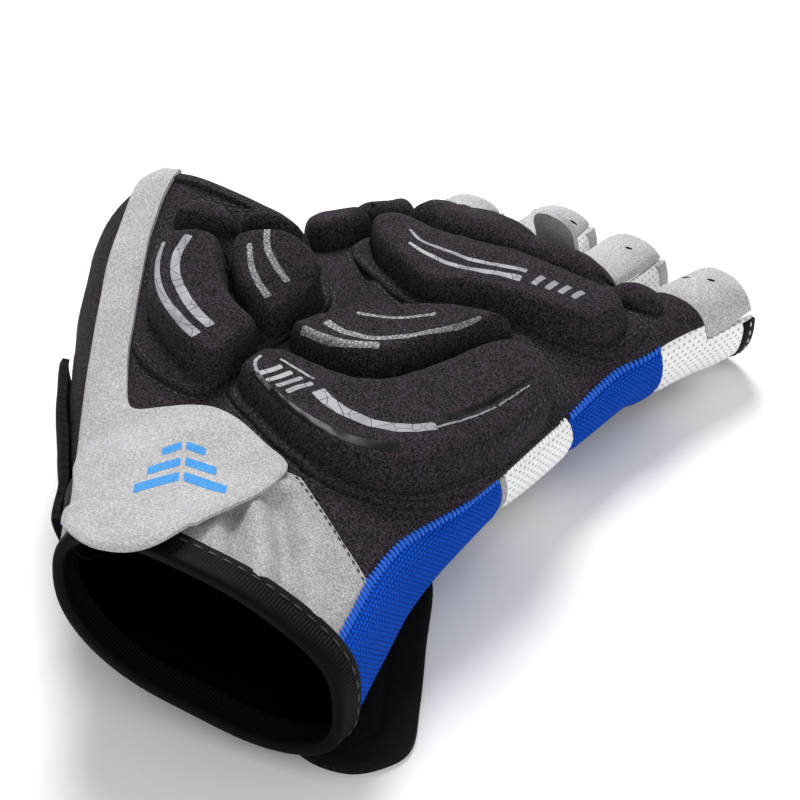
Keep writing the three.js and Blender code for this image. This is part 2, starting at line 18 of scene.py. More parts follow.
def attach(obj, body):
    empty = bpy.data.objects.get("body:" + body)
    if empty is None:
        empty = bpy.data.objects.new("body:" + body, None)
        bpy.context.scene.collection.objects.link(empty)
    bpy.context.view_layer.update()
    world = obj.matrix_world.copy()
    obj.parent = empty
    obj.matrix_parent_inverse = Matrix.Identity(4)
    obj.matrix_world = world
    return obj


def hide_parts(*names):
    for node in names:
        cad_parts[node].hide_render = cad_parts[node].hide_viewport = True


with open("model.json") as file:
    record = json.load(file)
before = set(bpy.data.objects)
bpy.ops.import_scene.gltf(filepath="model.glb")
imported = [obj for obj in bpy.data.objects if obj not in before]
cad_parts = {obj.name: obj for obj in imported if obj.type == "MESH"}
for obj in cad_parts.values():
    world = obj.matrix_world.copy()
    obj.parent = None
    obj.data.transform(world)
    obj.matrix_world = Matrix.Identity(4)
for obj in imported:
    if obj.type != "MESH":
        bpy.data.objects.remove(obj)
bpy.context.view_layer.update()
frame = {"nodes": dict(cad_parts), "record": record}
HAND_TO_FRAME = np.array([27.265, -67.198, 0.0])
MILLIMETRE = 0.001
print("frame loaded:", len(frame["nodes"]), "nodes")

# %% [markdown]
# The form of the glove is one smooth skin. It is drawn as tubes through a few sections: a wide one for
# the hand, a short one for the thumb and four for the fingers, each section a rounded rectangle. They
# are melted together with a voxel remesh and relaxed, because cloth bridges every inner corner in a
# soft curve.

# %% Sections of the hand, thumb and fingers
HAND_DEPTH = 50
CUFF_SLANT = 0.22
# along, left, right, low, high, slant, lean, tilt, lift
HAND_SECTIONS = [
    (-17.5, -23, 43, 14, 87, 1, 7, 14, 0), (-7, -31, 41, 12, 85, 1, 7, 13, 0),
    (8, -44, 36.5, 9, 80, 0.8, 6, 9, 0), (28, -54, 32.5, 7, 75, 0.4, 2, 4, 0),
    (50, -62, 32, 5, 72, 0.1, 0, 1, 0), (70, -70, 32, 2, 70, 0, 0, 1, 2),
    (84, -75, 33, 0, 68, 0, 0, 3, 6), (95, -68, 33.5, 0, 67, 0, 0, 6, 10),
    (110, -61, 34.5, 0, 64, 0, 0, 6, 12), (126, -54, 35.5, 2, 52, 0, 0, 3, 9),
]
# along, left, right, low, high
THUMB_SECTIONS = [
    (0, -46, -8, 14, 72), (18, -66, -10, 9, 74), (34, -80, -20, 8, 80), (48, -91, -28, 10, 86),
    (62, -100, -32, 18, 91), (72, -103, -36, 30, 97), (86, -98, -45, 43, 105.5),
]
# root x, root y, tip x, tip y, low at root, low at tip, high at root, high at tip
FINGERS = {
    "index": (-39, 113, -43, 150, 1, 1.6, 60, 46),
    "middle": (-17.5, 113, -20.5, 160, 1, 1.6, 58, 43),
    "ring": (3, 113, 3, 158, 1, 1.6, 56, 42),
    "little": (24, 112, 33.5, 151, 10, 3, 55, 52),
}
FINGER_WIDTH = 20.5
END_REACH = 13.0


def eased(rows, steps):
    """More rows between the rows of a table, on a smooth curve through them."""
    rows = np.array(rows, float)
    ends = np.vstack([2 * rows[0] - rows[1], rows, 2 * rows[-1] - rows[-2]])
    out = []
    for i in range(1, len(ends) - 2):
        a, b, c, d = ends[i - 1:i + 3]
        for t in np.arange(steps) / steps:
            out.append((2 * b + (c - a) * t + (2 * a - 5 * b + 4 * c - d) * t ** 2
                        + (3 * b - a - 3 * c + d) * t ** 3) / 2)
    return np.array(out + [rows[-1]])


def superellipse(count, power):
    """Side and rise, from -1 to 1, round a rounded rectangle."""
    turn = -2 * np.pi * np.arange(count) / count
    side, rise = np.cos(turn), np.sin(turn)
    return np.sign(side) * abs(side) ** (2 / power), np.sign(rise) * abs(rise) ** (2 / power)


def hand_ring(row, count=96):
    along, left, right, low, high, slant, lean, tilt, lift = row
    low, high, tilt, lift = [share * HAND_DEPTH / 100 for share in (low, high, tilt, lift)]
    side, rise = superellipse(count, 2.5)
    rise = (1 + rise) / 2
    x = (left + right) / 2 + side * (right - left) / 2
    z = low + rise * (high - low) - tilt * side + lift * np.maximum(side, 0) ** 2 * (1 - rise)
    y = along + CUFF_SLANT * slant * x + lean * (z - high) / (high - low)
    return np.stack([x, y, z], 1)


def oval_ring(centre, across, half_wide, half_high, power, count=64):
    side, rise = superellipse(count, power)
    return centre + side[:, None] * half_wide * across + rise[:, None] * half_high * np.array([0, 0, 1.0])


THUMB_POWER = 2.7


def thumb_ring(row):
    along, left, right, low, high = row
    low, high = low * HAND_DEPTH / 100, high * HAND_DEPTH / 100
    centre = np.array([(left + right) / 2, along, (low + high) / 2])
    return oval_ring(centre, np.array([1.0, 0, 0]), (right - left) / 2, (high - low) / 2, THUMB_POWER)


def finger_line(name):
    row = FINGERS[name]
    root, tip = np.array(row[:2], float), np.array(row[2:4], float)
    way = (tip - root) / np.linalg.norm(tip - root)
    return root, tip, way, np.array([way[1], -way[0]])


def finger_rings(name, steps=6):
    root, tip, way, across = finger_line(name)
    low0, low1, high0, high1 = [share * HAND_DEPTH / 100 for share in FINGERS[name][4:]]
    rings = []
    for t in np.linspace(0, 1, steps):
        spot = root + (tip - root) * t
        low, high = low0 + (low1 - low0) * t, high0 + (high1 - high0) * t
        centre = np.array([*spot, (low + high) / 2])
        rings.append(oval_ring(centre, np.array([*across, 0]), FINGER_WIDTH / 2, (high - low) / 2, 2.6))
    return rings + [rings[-1] + np.array([*way, 0]) * END_REACH]


def tube(rings):
    """A closed mesh through rings of points."""
    count = len(rings[0])
    corners = [np.vstack(rings), rings[0].mean(0)[None], rings[-1].mean(0)[None]]
    total = count * len(rings)
    faces = []
    for i in range(count):
        j = (i + 1) % count
        for r in range(0, total - count, count):
            faces += [(r + i, r + j, r + count + j), (r + i, r + count + j, r + count + i)]
        last = total - count
        faces += [(j, i, total), (last + i, last + j, total + 1)]
    return np.vstack(corners), np.array(faces)


def joined(meshes):
    """Several meshes as one list of points and faces."""
    starts = np.cumsum([0] + [len(points) for points, _ in meshes])
    return (np.vstack([points for points, _ in meshes]),
            np.vstack([faces + start for (_, faces), start in zip(meshes, starts)]))


# %% Melt the tubes into one skin
VOXEL = 1.1
RELAX_ROUNDS = 22


def face_normals(points, faces):
    a, b, c = points[faces[:, 0]], points[faces[:, 1]], points[faces[:, 2]]
    return np.cross(b - a, c - a)


def normals_of(points, faces):
    """A normal at every point, from the faces round it."""
    flat = face_normals(points, faces)
    out = np.zeros_like(points)
    for k in range(3):
        for axis in range(3):
            out[:, axis] += np.bincount(faces[:, k], flat[:, axis], len(points))
    return out / np.maximum(np.linalg.norm(out, axis=1), 1e-9)[:, None]


def edges_of(faces):
    pairs = np.sort(np.vstack([faces[:, [0, 1]], faces[:, [1, 2]], faces[:, [2, 0]]]), 1)
    return np.unique(pairs, axis=0, return_counts=True)


def relaxed(points, faces, rounds, share=0.5, fixed=None):
    """Every point drawn towards its neighbours, as a stretched cloth draws itself."""
    edges, _ = edges_of(faces)
    ends = np.concatenate([edges[:, 0], edges[:, 1]])
    others = np.concatenate([edges[:, 1], edges[:, 0]])
    near = np.bincount(ends, minlength=len(points))
    for _ in range(rounds):
        middle = np.stack([np.bincount(ends, points[others, axis], len(points)) for axis in range(3)], 1)
        step = share * (middle / near[:, None] - points)
        if fixed is not None:
            step[fixed] = 0
        points = points + step
    return points


def remeshed(points, faces, voxel):
    mesh = bpy.data.meshes.new("melt")
    mesh.from_pydata(points.tolist(), [], faces.tolist())
    melt = bpy.data.objects.new("melt", mesh)
    bpy.context.scene.collection.objects.link(melt)
    remesh = melt.modifiers.new("melt", "REMESH")
    remesh.mode = "VOXEL"
    remesh.voxel_size = voxel
    done = melt.evaluated_get(bpy.context.evaluated_depsgraph_get()).to_mesh()
    out = np.empty(len(done.vertices) * 3)
    done.vertices.foreach_get("co", out)
    done.calc_loop_triangles()
    triangles = np.empty(len(done.loop_triangles) * 3, int)
    done.loop_triangles.foreach_get("vertices", triangles)
    bpy.data.objects.remove(melt)
    return out.reshape(-1, 3), triangles.reshape(-1, 3)


hand_rows = eased(HAND_SECTIONS, 6)
hand_rings = [hand_ring(row) for row in hand_rows]
hand_rings.insert(0, hand_rings[0] - np.array([0, END_REACH, 0]))
tubes = [tube(hand_rings), tube([thumb_ring(row) for row in eased(THUMB_SECTIONS, 6)])]
tubes += [tube(finger_rings(name)) for name in FINGERS]
skin, skin_faces = remeshed(*joined(tubes), VOXEL)
skin = relaxed(skin, skin_faces, RELAX_ROUNDS)
print("skin:", len(skin), "points,", len(skin_faces), "faces")

# %% [markdown]
# Real cloth is never even, so the skin gets a slow unevenness and the creases that show on the glove:
# one across the palm, two in the wrist gore and a few small ones where the thumb joins. Then it is
# flattened where it lies on the table.

# %% Creases and unevenness
# depth, width, then the line's points in plan
CREASES = [
    (1.5, 2.0, [(-37, 96), (-33, 90), (-28, 82), (-20, 74), (-12, 69)]),
    (2.6, 2.2, [(5, 14), (12, 8), (19, 1), (25, -6), (29, -11)]),
    (2.0, 1.8, [(2, 4), (8, -2), (14, -8)]),
    (0.9, 2.2, [(-18, 96), (-6, 98), (8, 103)]),
    (0.8, 2.4, [(20, 60), (30, 57), (36, 56)]),
]
WOBBLE_SEED = 5


def along_line(points, line):
    """Distance from points to a line in plan."""
    line = np.array(line, float)
    best = np.full(len(points), 1e9)
    for a, b in zip(line[:-1], line[1:]):
        way = b - a
        t = np.clip(((points - a) @ way) / (way @ way), 0, 1)
        best = np.minimum(best, np.linalg.norm(points - a - t[:, None] * way, axis=1))
    return best


def wobble(points, size, seed=WOBBLE_SEED, waves=14):
    """Slow unevenness from -1 to 1, waves about size long."""
    chance = np.random.default_rng(seed)
    out = np.zeros(len(points))
    for _ in range(waves):
        way = chance.normal(size=3)
        way *= 2 * np.pi / (np.linalg.norm(way) * size * chance.uniform(0.7, 1.5))
        out += np.sin(points @ way + chance.uniform(0, 2 * np.pi))
    return out / math.sqrt(waves)


def creased(data):
    """How far the creases push a cloth in or out, on its upper side."""
    out = np.zeros(len(data))
    for depth, width, line in CREASES:
        away = along_line(data[:, :2], eased(line, 6))
        out -= depth * (np.exp(-(away / width) ** 2) - 0.35 * np.exp(-((away - 2.2 * width) / width) ** 2))
    return out * np.clip(data[:, 5] * 2, 0, 1)


normals = normals_of(skin, skin_faces)
skin = skin + normals * (0.28 * wobble(skin, 22))[:, None]
skin[:, 2] = np.maximum(skin[:, 2], 0.15)
skin = relaxed(skin, skin_faces, 2)
normals = normals_of(skin, skin_faces)

# %% [markdown]
# A glove is cut from flat pieces. Here each panel is cut out of the skin along a field: a number at
# every point that is positive on one side of a seam and negative on the other. A triangle that the seam
# crosses is split just there, so the edges are clean, and neighbours share one seam exactly.

# %% Cut cloth along a field
SEAM_GAP = 0.22


def tidied(data, faces):
    used = np.unique(faces)
    renumber = np.zeros(len(data), int)
    renumber[used] = np.arange(len(used))
    return data[used], renumber[faces]


def cut(cloth, side):
    """The part of a cloth where side is positive. A cloth is rows of point and normal, and faces."""
    data, faces = cloth
    side = np.where(np.abs(side) < 1e-6, 1e-6, side)
    kept = side > 0
    count = kept[faces].sum(1)
    turned = []
    for number, odd in ((1, True), (2, False)):
        part = faces[count == number]
        first = np.argmax(kept[part] == odd, 1)
        turned.append(np.take_along_axis(part, (first[:, None] + np.arange(3)) % 3, 1))
    one, two = turned
    pairs = np.vstack([one[:, [0, 1]], one[:, [0, 2]], two[:, [0, 1]], two[:, [0, 2]]])
    if not len(pairs):
        return tidied(data, faces[count == 3])
    keys, where = np.unique(np.sort(pairs, 1), axis=0, return_inverse=True)
    a, b = keys[:, 0], keys[:, 1]
    share = side[a] / (side[a] - side[b])
    corners = data[a] + (data[b] - data[a]) * share[:, None]
    where = where.reshape(-1) + len(data)
    ab1, ac1, ab2, ac2 = np.split(where, [len(one), 2 * len(one), 2 * len(one) + len(two)])
    faces = np.vstack([
        faces[count == 3], np.stack([one[:, 0], ab1, ac1], 1),
        np.stack([ab2, two[:, 1], two[:, 2]], 1), np.stack([ab2, two[:, 2], ac2], 1),
    ])
    return tidied(np.vstack([data, corners]), faces)


def rim_of(faces):
    """The open edges of a cloth, each in the direction of its face."""
    pairs = np.vstack([faces[:, [0, 1]], faces[:, [1, 2]], faces[:, [2, 0]]])
    _, where, count = np.unique(np.sort(pairs, 1), axis=0, return_inverse=True, return_counts=True)
    return pairs[count[where.reshape(-1)] == 1]


def refined(cloth, rounds=1):
    """Each face as four, then relaxed a little inside its edge."""
    data, faces = cloth
    for _ in range(rounds):
        pairs = np.sort(np.vstack([faces[:, [0, 1]], faces[:, [1, 2]], faces[:, [2, 0]]]), 1)
        keys, where = np.unique(pairs, axis=0, return_inverse=True)
        ab, bc, ca = np.split(where.reshape(-1) + len(data), 3)
        a, b, c = faces.T
        data = np.vstack([data, data[keys].mean(1)])
        quarters = ((a, ab, ca), (ab, b, bc), (ca, bc, c), (ab, bc, ca))
        faces = np.vstack([np.stack(rows, 1) for rows in quarters])
        rim = np.unique(rim_of(faces))
        data[:, :3] = relaxed(data[:, :3], faces, 2, 0.4, rim)
    data[:, 3:] /= np.linalg.norm(data[:, 3:], axis=1)[:, None]
    return data, faces


def thick(top, bottom, faces):
    """A closed piece between an upper and a lower copy of one cloth."""
    rim = rim_of(faces)
    a, b = rim[:, 0], rim[:, 1]
    count = len(top)
    sides = np.vstack([np.stack([b, a, a + count], 1), np.stack([b, a + count, b + count], 1)])
    return np.vstack([top, bottom]), np.vstack([faces, faces[:, ::-1] + count, sides])


def near_rim(data, rim_points):
    """Distance from every point to the nearest rim point."""
    tree = KDTree(len(rim_points))
    for i, point in enumerate(rim_points):
        tree.insert(point, i)
    tree.balance()
    return np.array([tree.find(point)[2] for point in data[:, :3]])


def smoothstep(value):
    value = np.clip(value, 0, 1)
    return value * value * (3 - 2 * value)


# %% [markdown]
# The seams are short tables. Those of the palm side are outlines in plan, and those of the sides are
# heights along the hand.

# %% Seam tables
STRIP_AND_TAB = [
    (-101, 89), (-98, 82), (-95.6, 77.6), (-91.7, 70.4), (-86, 59.3), (-79, 48.5), (-71.8, 38.4),
    (-66.6, 31.2),
    (-58, 19.8), (-49.6, 9.4), (-41.4, 0), (-33.4, -7.2), (-27, -13.6), (-22.4, -19), (-17.4, -23),
    (-12.4, -25.2),
    (-7, -25.4), (-1.6, -22.6), (1.6, -18), (2.6, -12.4), (2.6, -5), (2.8, 2), (2.8, 10), (2.2, 16.6),
    (1.2, 21.6),
    (-1.6, 23.6), (-7.3, 25), (-14.2, 27), (-20, 28.2), (-26, 28.2), (-31, 26), (-36.4, 22), (-41, 18.8),
    (-44.6, 20), (-49.6, 25), (-55, 31.4), (-60, 38.5), (-65.6, 46.4), (-72.6, 56.6), (-77, 63),
    (-80.4, 69.4),
    (-82.6, 74), (-85, 81), (-86.6, 89),
]
WRIST_GORE = [(-34, -34), (-30, 8), (-14, 20), (4, 23), (12, 19.5), (22, 15), (36, 10), (60, 4), (60, -34)]
THUMB_SEAM = [
    (-120, -34), (-34, -34), (-31, 8), (-31, 30), (-31, 50), (-31.5, 74), (-44, 84.5), (-120, 84.5),
]
THUMB_BACK_SEAM = [(-120, -34), (-28, -34), (-38, 10), (-46, 40), (-52, 78), (-78, 100), (-120, 110)]
FINGER_ROOT_LINE = 134
LITTLE_ROOT_LINE = 119
# along, low, high
SIDE_SEAM = [
    (-40, 22, 64), (0, 15, 60), (25, 12, 56), (44, 11, 49), (60, 11, 46), (86, 11, 44), (108, 11, 44),
    (122, 11, 44), (170, 10, 35),
]
# along, across
SIDE_INNER = [(-40, 14), (95, 14), (112, 22), (150, 33), (175, 33)]
# along, height
BACK_SEAM_THUMB = [
    (-40, 48), (0, 50), (30, 56), (60, 68), (74, 82), (83, 84), (86, 40), (100, 27), (126, 22), (175, 18),
]
BACK_SEAM_LEFT = [(-40, 48), (0, 50), (30, 42), (86, 40), (100, 27), (126, 22), (175, 18)]
BACK_SEAM_RIGHT = [(-40, 30), (122, 26), (175, 18)]
SIDE_PIECES = {
    "side_blue_wrist": (-40, 58), "side_piping": (58, 60), "side_white_knuckle": (60, 85),
    "side_blue_knuckle": (85, LITTLE_ROOT_LINE),
}


def closed_curve(outline, steps=5):
    """A smooth closed outline through the points of a table."""
    points = np.array(outline, float)
    count = len(points)
    out = []
    for i in range(count):
        a, b, c, d = points[i - 1], points[i], points[(i + 1) % count], points[(i + 2) % count]
        for t in np.arange(steps) / steps:
            out.append((2 * b + (c - a) * t + (2 * a - 5 * b + 4 * c - d) * t ** 2
                        + (3 * b - a - 3 * c + d) * t ** 3) / 2)
    return np.array(out)


def inside(points, outline, reach=12.0):
    """Distance inside an outline in plan, negative outside."""
    outline = np.array(outline, float)
    out = np.full(len(points), -reach)
    low, high = outline.min(0) - reach, outline.max(0) + reach
    near = np.all((points > low) & (points < high), axis=1)
    spot = points[near]
    best = np.full(len(spot), 1e9)
    crossings = np.zeros(len(spot), bool)
    for a, b in zip(outline, np.roll(outline, -1, axis=0)):
        way = b - a
        t = np.clip(((spot - a) @ way) / max(way @ way, 1e-9), 0, 1)
        best = np.minimum(best, np.linalg.norm(spot - a - t[:, None] * way, axis=1))
        spans = (a[1] > spot[:, 1]) != (b[1] > spot[:, 1])
        at = a[0] + (spot[:, 1] - a[1]) * way[0] / (way[1] if abs(way[1]) > 1e-9 else 1e-9)
        crossings ^= spans & (spot[:, 0] < at)
    out[near] = np.where(crossings, best, -best)
    return out


def heights(rows, along, column=1):
    rows = np.array(rows, float)
    return np.interp(along, rows[:, 0], rows[:, column]) * HAND_DEPTH / 100


def cuff_side(p):
    first = HAND_SECTIONS[0]
    low, high = first[3] * HAND_DEPTH / 100, first[4] * HAND_DEPTH / 100
    edge = first[0] + CUFF_SLANT * first[5] * p[:, 0] + first[6] * (p[:, 2] - high) / (high - low)
    return p[:, 1] - edge


def side_band(p):
    inner = np.interp(p[:, 1], *np.array(SIDE_INNER, float).T)
    return np.minimum.reduce([
        heights(SIDE_SEAM, p[:, 1], 2) - p[:, 2], p[:, 2] - heights(SIDE_SEAM, p[:, 1], 1), p[:, 0] - inner,
    ])


def back_side(p):
    x, y = p[:, 0], p[:, 1]
    thumb, left, right = [heights(rows, y) for rows in (BACK_SEAM_THUMB, BACK_SEAM_LEFT, BACK_SEAM_RIGHT)]
    seam = thumb + (left - thumb) * smoothstep((x + 60) / 6)
    return seam + (right - seam) * smoothstep((x + 16) / 8) - p[:, 2]


def stall_side(p, name):
    """Inside one finger's stall, past the palm's end."""
    names = list(FINGERS)
    i = names.index(name)
    out = p[:, 1] - FINGER_ROOT_LINE
    for other, sign in ((i - 1, 1), (i + 1, -1)):
        if 0 <= other < len(names):
            mine, theirs = finger_line(name), finger_line(names[other])
            root, tip = (mine[0] + theirs[0]) / 2, (mine[1] + theirs[1]) / 2
            edge = root[0] + (tip[0] - root[0]) * (p[:, 1] - root[1]) / (tip[1] - root[1])
            out = np.minimum(out, sign * (p[:, 0] - edge))
    if name == "little":
        out = np.maximum(out, np.minimum(side_band(p), p[:, 1] - LITTLE_ROOT_LINE))
    return out


# half width of the suede face, and how far it comes down past the middle of the finger
FACES = {"index": (8.2, -1.8), "middle": (8.4, -1.8), "ring": (8.6, -1.8), "little": (10.4, -3.0)}


def face_side(p, name):
    """On the suede face of one finger."""
    root, tip, way, across = finger_line(name)
    half, drop_past = FACES[name]
    middle = (FINGERS[name][5] + FINGERS[name][7]) / 2 * HAND_DEPTH / 100 - drop_past
    away = np.abs((p[:, :2] - root) @ across)
    return np.minimum.reduce([half - away, p[:, 2] - middle, p[:, 1] - FINGER_ROOT_LINE])


def tip_side(p, name):
    root, tip, way, across = finger_line(name)
    return (tip - p[:, :2]) @ way


def thumb_end(p):
    """Inside the mouth of the thumb, where the flat end of its tube is cut away."""
    along, left, right, low, high = THUMB_SECTIONS[-1]
    low, high = low * HAND_DEPTH / 100, high * HAND_DEPTH / 100
    x, y, z = p.T
    reach = (np.abs((x - (left + right) / 2) / ((right - left) / 2)) ** THUMB_POWER
             + np.abs((z - (low + high) / 2) / ((high - low) / 2)) ** THUMB_POWER) ** (1 / THUMB_POWER)
    rows = np.array(HAND_SECTIONS)
    left, right, low, high, tilt = [np.interp(y, rows[:, 0], rows[:, k]) for k in (1, 2, 3, 4, 7)]
    side = (x - (left + right) / 2) / ((right - left) / 2)
    rise = (2 * z / HAND_DEPTH * 100 + 2 * tilt * side - low - high) / (high - low)
    outside = (np.abs(side) ** 2.5 + np.abs(rise) ** 2.5) ** (1 / 2.5)
    return np.minimum.reduce([(1 - reach) * 15 - 1.0, (outside - 1) * 17 - 0.6, y - (along - 2.2)])


# %% Cut the panels
def where(cloth, field, *words):
    return field(cloth[0][:, :3], *words)


def plan_side(outline):
    curve = closed_curve(outline, 1)
    return lambda p: inside(p[:, :2], curve)


whole = (np.hstack([skin, normals]), skin_faces)
whole = cut(whole, where(whole, cuff_side))
whole = cut(whole, -where(whole, thumb_end))
for name in FINGERS:
    whole = cut(whole, np.maximum(where(whole, tip_side, name), -where(whole, stall_side, name)))

panels = {}
rest = whole


def take(name, field, *words):
    """Cuts a panel out of what is left of the skin."""
    global rest
    panels[name] = cut(rest, where(rest, field, *words) - SEAM_GAP / 2)
    rest = cut(rest, -where(rest, field, *words) - SEAM_GAP / 2)


for name in FINGERS:
    take("stall_" + name, stall_side, name)
    stall = panels.pop("stall_" + name)
    panels["finger_front_" + name] = cut(stall, where(stall, face_side, name) - SEAM_GAP / 2)
    panels["finger_mesh_" + name] = cut(stall, -where(stall, face_side, name) - SEAM_GAP / 2)
for name, (start, end) in SIDE_PIECES.items():
    take(name, lambda p: np.minimum.reduce([side_band(p), p[:, 1] - start, end - p[:, 1]]))
take("back", back_side)
back = panels.pop("back")
thumb_back = plan_side(THUMB_BACK_SEAM)
panels["thumb_back_panel"] = cut(back, where(back, thumb_back) - SEAM_GAP / 2)
panels["back_panel"] = cut(back, -where(back, thumb_back) - SEAM_GAP / 2)
take("wrist_gore", plan_side(WRIST_GORE))
take("thumb_palm_panel", plan_side(THUMB_SEAM))
panels["palm_panel"] = rest
for name, (data, faces) in panels.items():
    print("panel", name, len(faces))

# %% [markdown]
# Every panel becomes a closed piece of its real thickness. Its surface dips towards the seams, because
# the thread pulls the cloth in there, and stands proud between them.

# %% Make pieces
CLOTH_WALL = 1.6
SEAM_DIP = 0.55
SEAM_DIP_WIDTH = 2.2
pieces = {}


def add_piece(name, points, faces, cloth_map=None, replaces=(), smooth_angle=50):
    mesh = bpy.data.meshes.new(name)
    mesh.from_pydata(((points + HAND_TO_FRAME) * MILLIMETRE).tolist(), [], faces.tolist())
    mesh.polygons.foreach_set("use_smooth", np.ones(len(faces), bool))
    mesh.set_sharp_from_angle(angle=math.radians(smooth_angle))
    if cloth_map is not None:
        loops = np.empty(len(mesh.loops), int)
        mesh.loops.foreach_get("vertex_index", loops)
        layer = mesh.uv_layers.new(name="cloth")
        layer.data.foreach_set("uv", cloth_map[loops].astype(np.float32).ravel())
    piece = bpy.data.objects.new("seen_" + name, mesh)
    bpy.context.scene.collection.objects.link(piece)
    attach(piece, "root")
    for node in replaces:
        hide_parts(node)
    pieces[name] = piece
    return piece


def line_inside(piece, count):
    """The lower half of a thick piece's faces shows its inner side."""
    index = np.zeros(len(piece.data.polygons), int)
    index[count:2 * count] = 1
    piece.data.polygons.foreach_set("material_index", index)


def plan_map(data):
    return data[:, :2]


def side_map(data):
    """Along the hand, and round its edge."""
    return np.stack([data[:, 1], data[:, 2] * 1.15 - data[:, 0] * 0.2], 1)


def stall_map(name):
    root, tip, way, across = finger_line(name)
    low, high = FINGERS[name][5], FINGERS[name][7]
    middle = (low + high) / 2 * HAND_DEPTH / 100

    def around(data):
        aside, rise = (data[:, :2] - root) @ across, data[:, 2] - middle
        turn = np.arctan2(rise, aside)
        return np.stack([(data[:, :2] - root) @ way, np.mod(turn + np.pi / 2, 2 * np.pi) * 9.5], 1)
    return around


PANEL_MAPS = {name: side_map for name in SIDE_PIECES}
for name in FINGERS:
    PANEL_MAPS["finger_mesh_" + name] = stall_map(name)

rims = np.vstack([data[np.unique(rim_of(faces)), :3] for data, faces in panels.values()])
dressed_tops = []
for name, (data, faces) in panels.items():
    dip = SEAM_DIP * (1 - smoothstep(near_rim(data, rims) / SEAM_DIP_WIDTH))
    if name in ("wrist_gore", "palm_panel"):
        dip -= creased(data) * smoothstep(near_rim(data, rims) / 6)
    top = data[:, :3] - data[:, 3:] * dip[:, None]
    bottom = data[:, :3] - data[:, 3:] * (CLOTH_WALL + np.maximum(dip - SEAM_DIP, 0))[:, None]
    flat = PANEL_MAPS.get(name, plan_map)(data)
    points, closed = thick(top, bottom, faces)
    piece = add_piece(name, points, closed, np.vstack([flat, flat]), [name])
    line_inside(piece, len(faces))
    dressed_tops.append((top, faces))
print("panels made:", len(pieces))

# %% [markdown]
# The gel pads are sheets of suede sewn over thick lumps. A sheet is cut from the skin again, made
# finer, and raised: a low hem with a stitched groove, then rounded lumps with steep sides.

# %% Pad tables
THENAR_LUMP_LONG = [
    (-68, 62), (-69, 59), (-67, 54), (-64, 49), (-60, 44), (-56, 40.5), (-50, 37.8), (-44, 35.5),
    (-37, 34.4),
    (-33, 34.6), (-31.6, 37), (-32, 43), (-32.5, 49), (-35, 52.6), (-41, 53.8), (-46, 57), (-50, 61.5),
    (-54.5, 65.6), (-58, 66.8), (-63, 65.6),
]
THENAR_LUMP_SHORT = [
    (-53, 68), (-51.5, 71), (-49, 74), (-46, 76.8), (-42, 77.8), (-37, 77), (-33.5, 75.2), (-32.2, 71),
    (-32.4, 65), (-32.5, 59), (-34, 55.6), (-38, 55.2), (-42, 56.3), (-46.5, 59.2), (-50.5, 63.5),
]
THENAR_CAP_LEFT = [(-71.8, 67), (-72.4, 70.6), (-70, 73.8), (-65, 75.6), (-60, 75.2), (-56.6, 72.6),
    (-60, 70), (-66.4, 68)]
THENAR_CAP_RIGHT = [(-55.4, 73.4), (-56.4, 76.8), (-54, 80), (-49.6, 82.4), (-45.4, 82.2), (-45, 80),
    (-50.4, 77)]
HEEL_LUMP_OUTER = [
    (-27.5, 39), (-27, 46), (-22, 49.6), (-14, 50), (-5, 50.6), (1, 54), (4.4, 59.9), (6.8, 69), (9, 79),
    (12.4, 86), (17, 88.4), (22, 88.2), (26, 85.4), (28.4, 80), (29.6, 72), (29.4, 63), (28.2, 53.7),
    (26.2, 44.5), (23, 37.4), (18.3, 31.8), (12.5, 28.6), (5, 27.6), (-6, 29.8), (-16, 33.2), (-24, 36),
]
HEEL_LUMP_INNER = [
    (-28, 57), (-27.4, 61), (-25, 66), (-21.5, 71.6), (-15.8, 77), (-8.5, 83), (-2.7, 87.2), (3, 90),
    (8, 92), (10.2, 91.6), (8.2, 86.5), (5.2, 80), (2.8, 71), (0.4, 63.6), (-3, 59), (-9, 55.6),
    (-16, 54.6), (-23, 54.8),
]
KNUCKLE_LUMP = [
    (-42, 105), (-38, 100.4), (-32.5, 96), (-24.7, 92.6), (-17, 90.4), (-10.5, 90.4), (-5, 94.6), (0, 96.6),
    (7.4, 98.2), (15.6, 100.8), (23, 105), (26.6, 110.4), (26.6, 115.6), (23, 119.6), (16, 120.4), (9, 119),
    (1, 117.2), (-8, 115.6), (-17, 113), (-25, 111), (-32, 111.6), (-38, 111.6), (-41.4, 108.8),
]
INDEX_LUMP_LOWER = [
    (-60, 99.4), (-55.4, 95.6), (-50.4, 96.6), (-46.8, 101), (-45.6, 106), (-46.4, 110.4), (-50, 111.6),
    (-55.4, 108.6), (-59.6, 104.4),
]
INDEX_LUMP_UPPER = [
    (-57.6, 115.4), (-53.6, 113), (-48, 113.4), (-44.4, 117), (-43.6, 122), (-44.8, 127), (-49, 128),
    (-53.6, 124.6), (-57, 120),
]
CREASE_LUMP = [
    (-39, 115), (-32, 115.4), (-24, 115.2), (-16, 117.2), (-8, 119.8), (2, 121.4), (10, 122.8), (18, 123.6),
    (25, 122.6), (30, 125), (29, 129), (22, 132), (12, 133.4), (3, 133.6), (-7, 133.4), (-17, 133.6),
    (-28, 133), (-36.6, 131), (-41.4, 126), (-41.4, 119),
]
# across, height of the roll there
CREASE_HEIGHTS = [(-42, 9.6), (-30, 9.8), (-10, 8.6), (5, 7.2), (16, 5.4), (30, 3.4)]
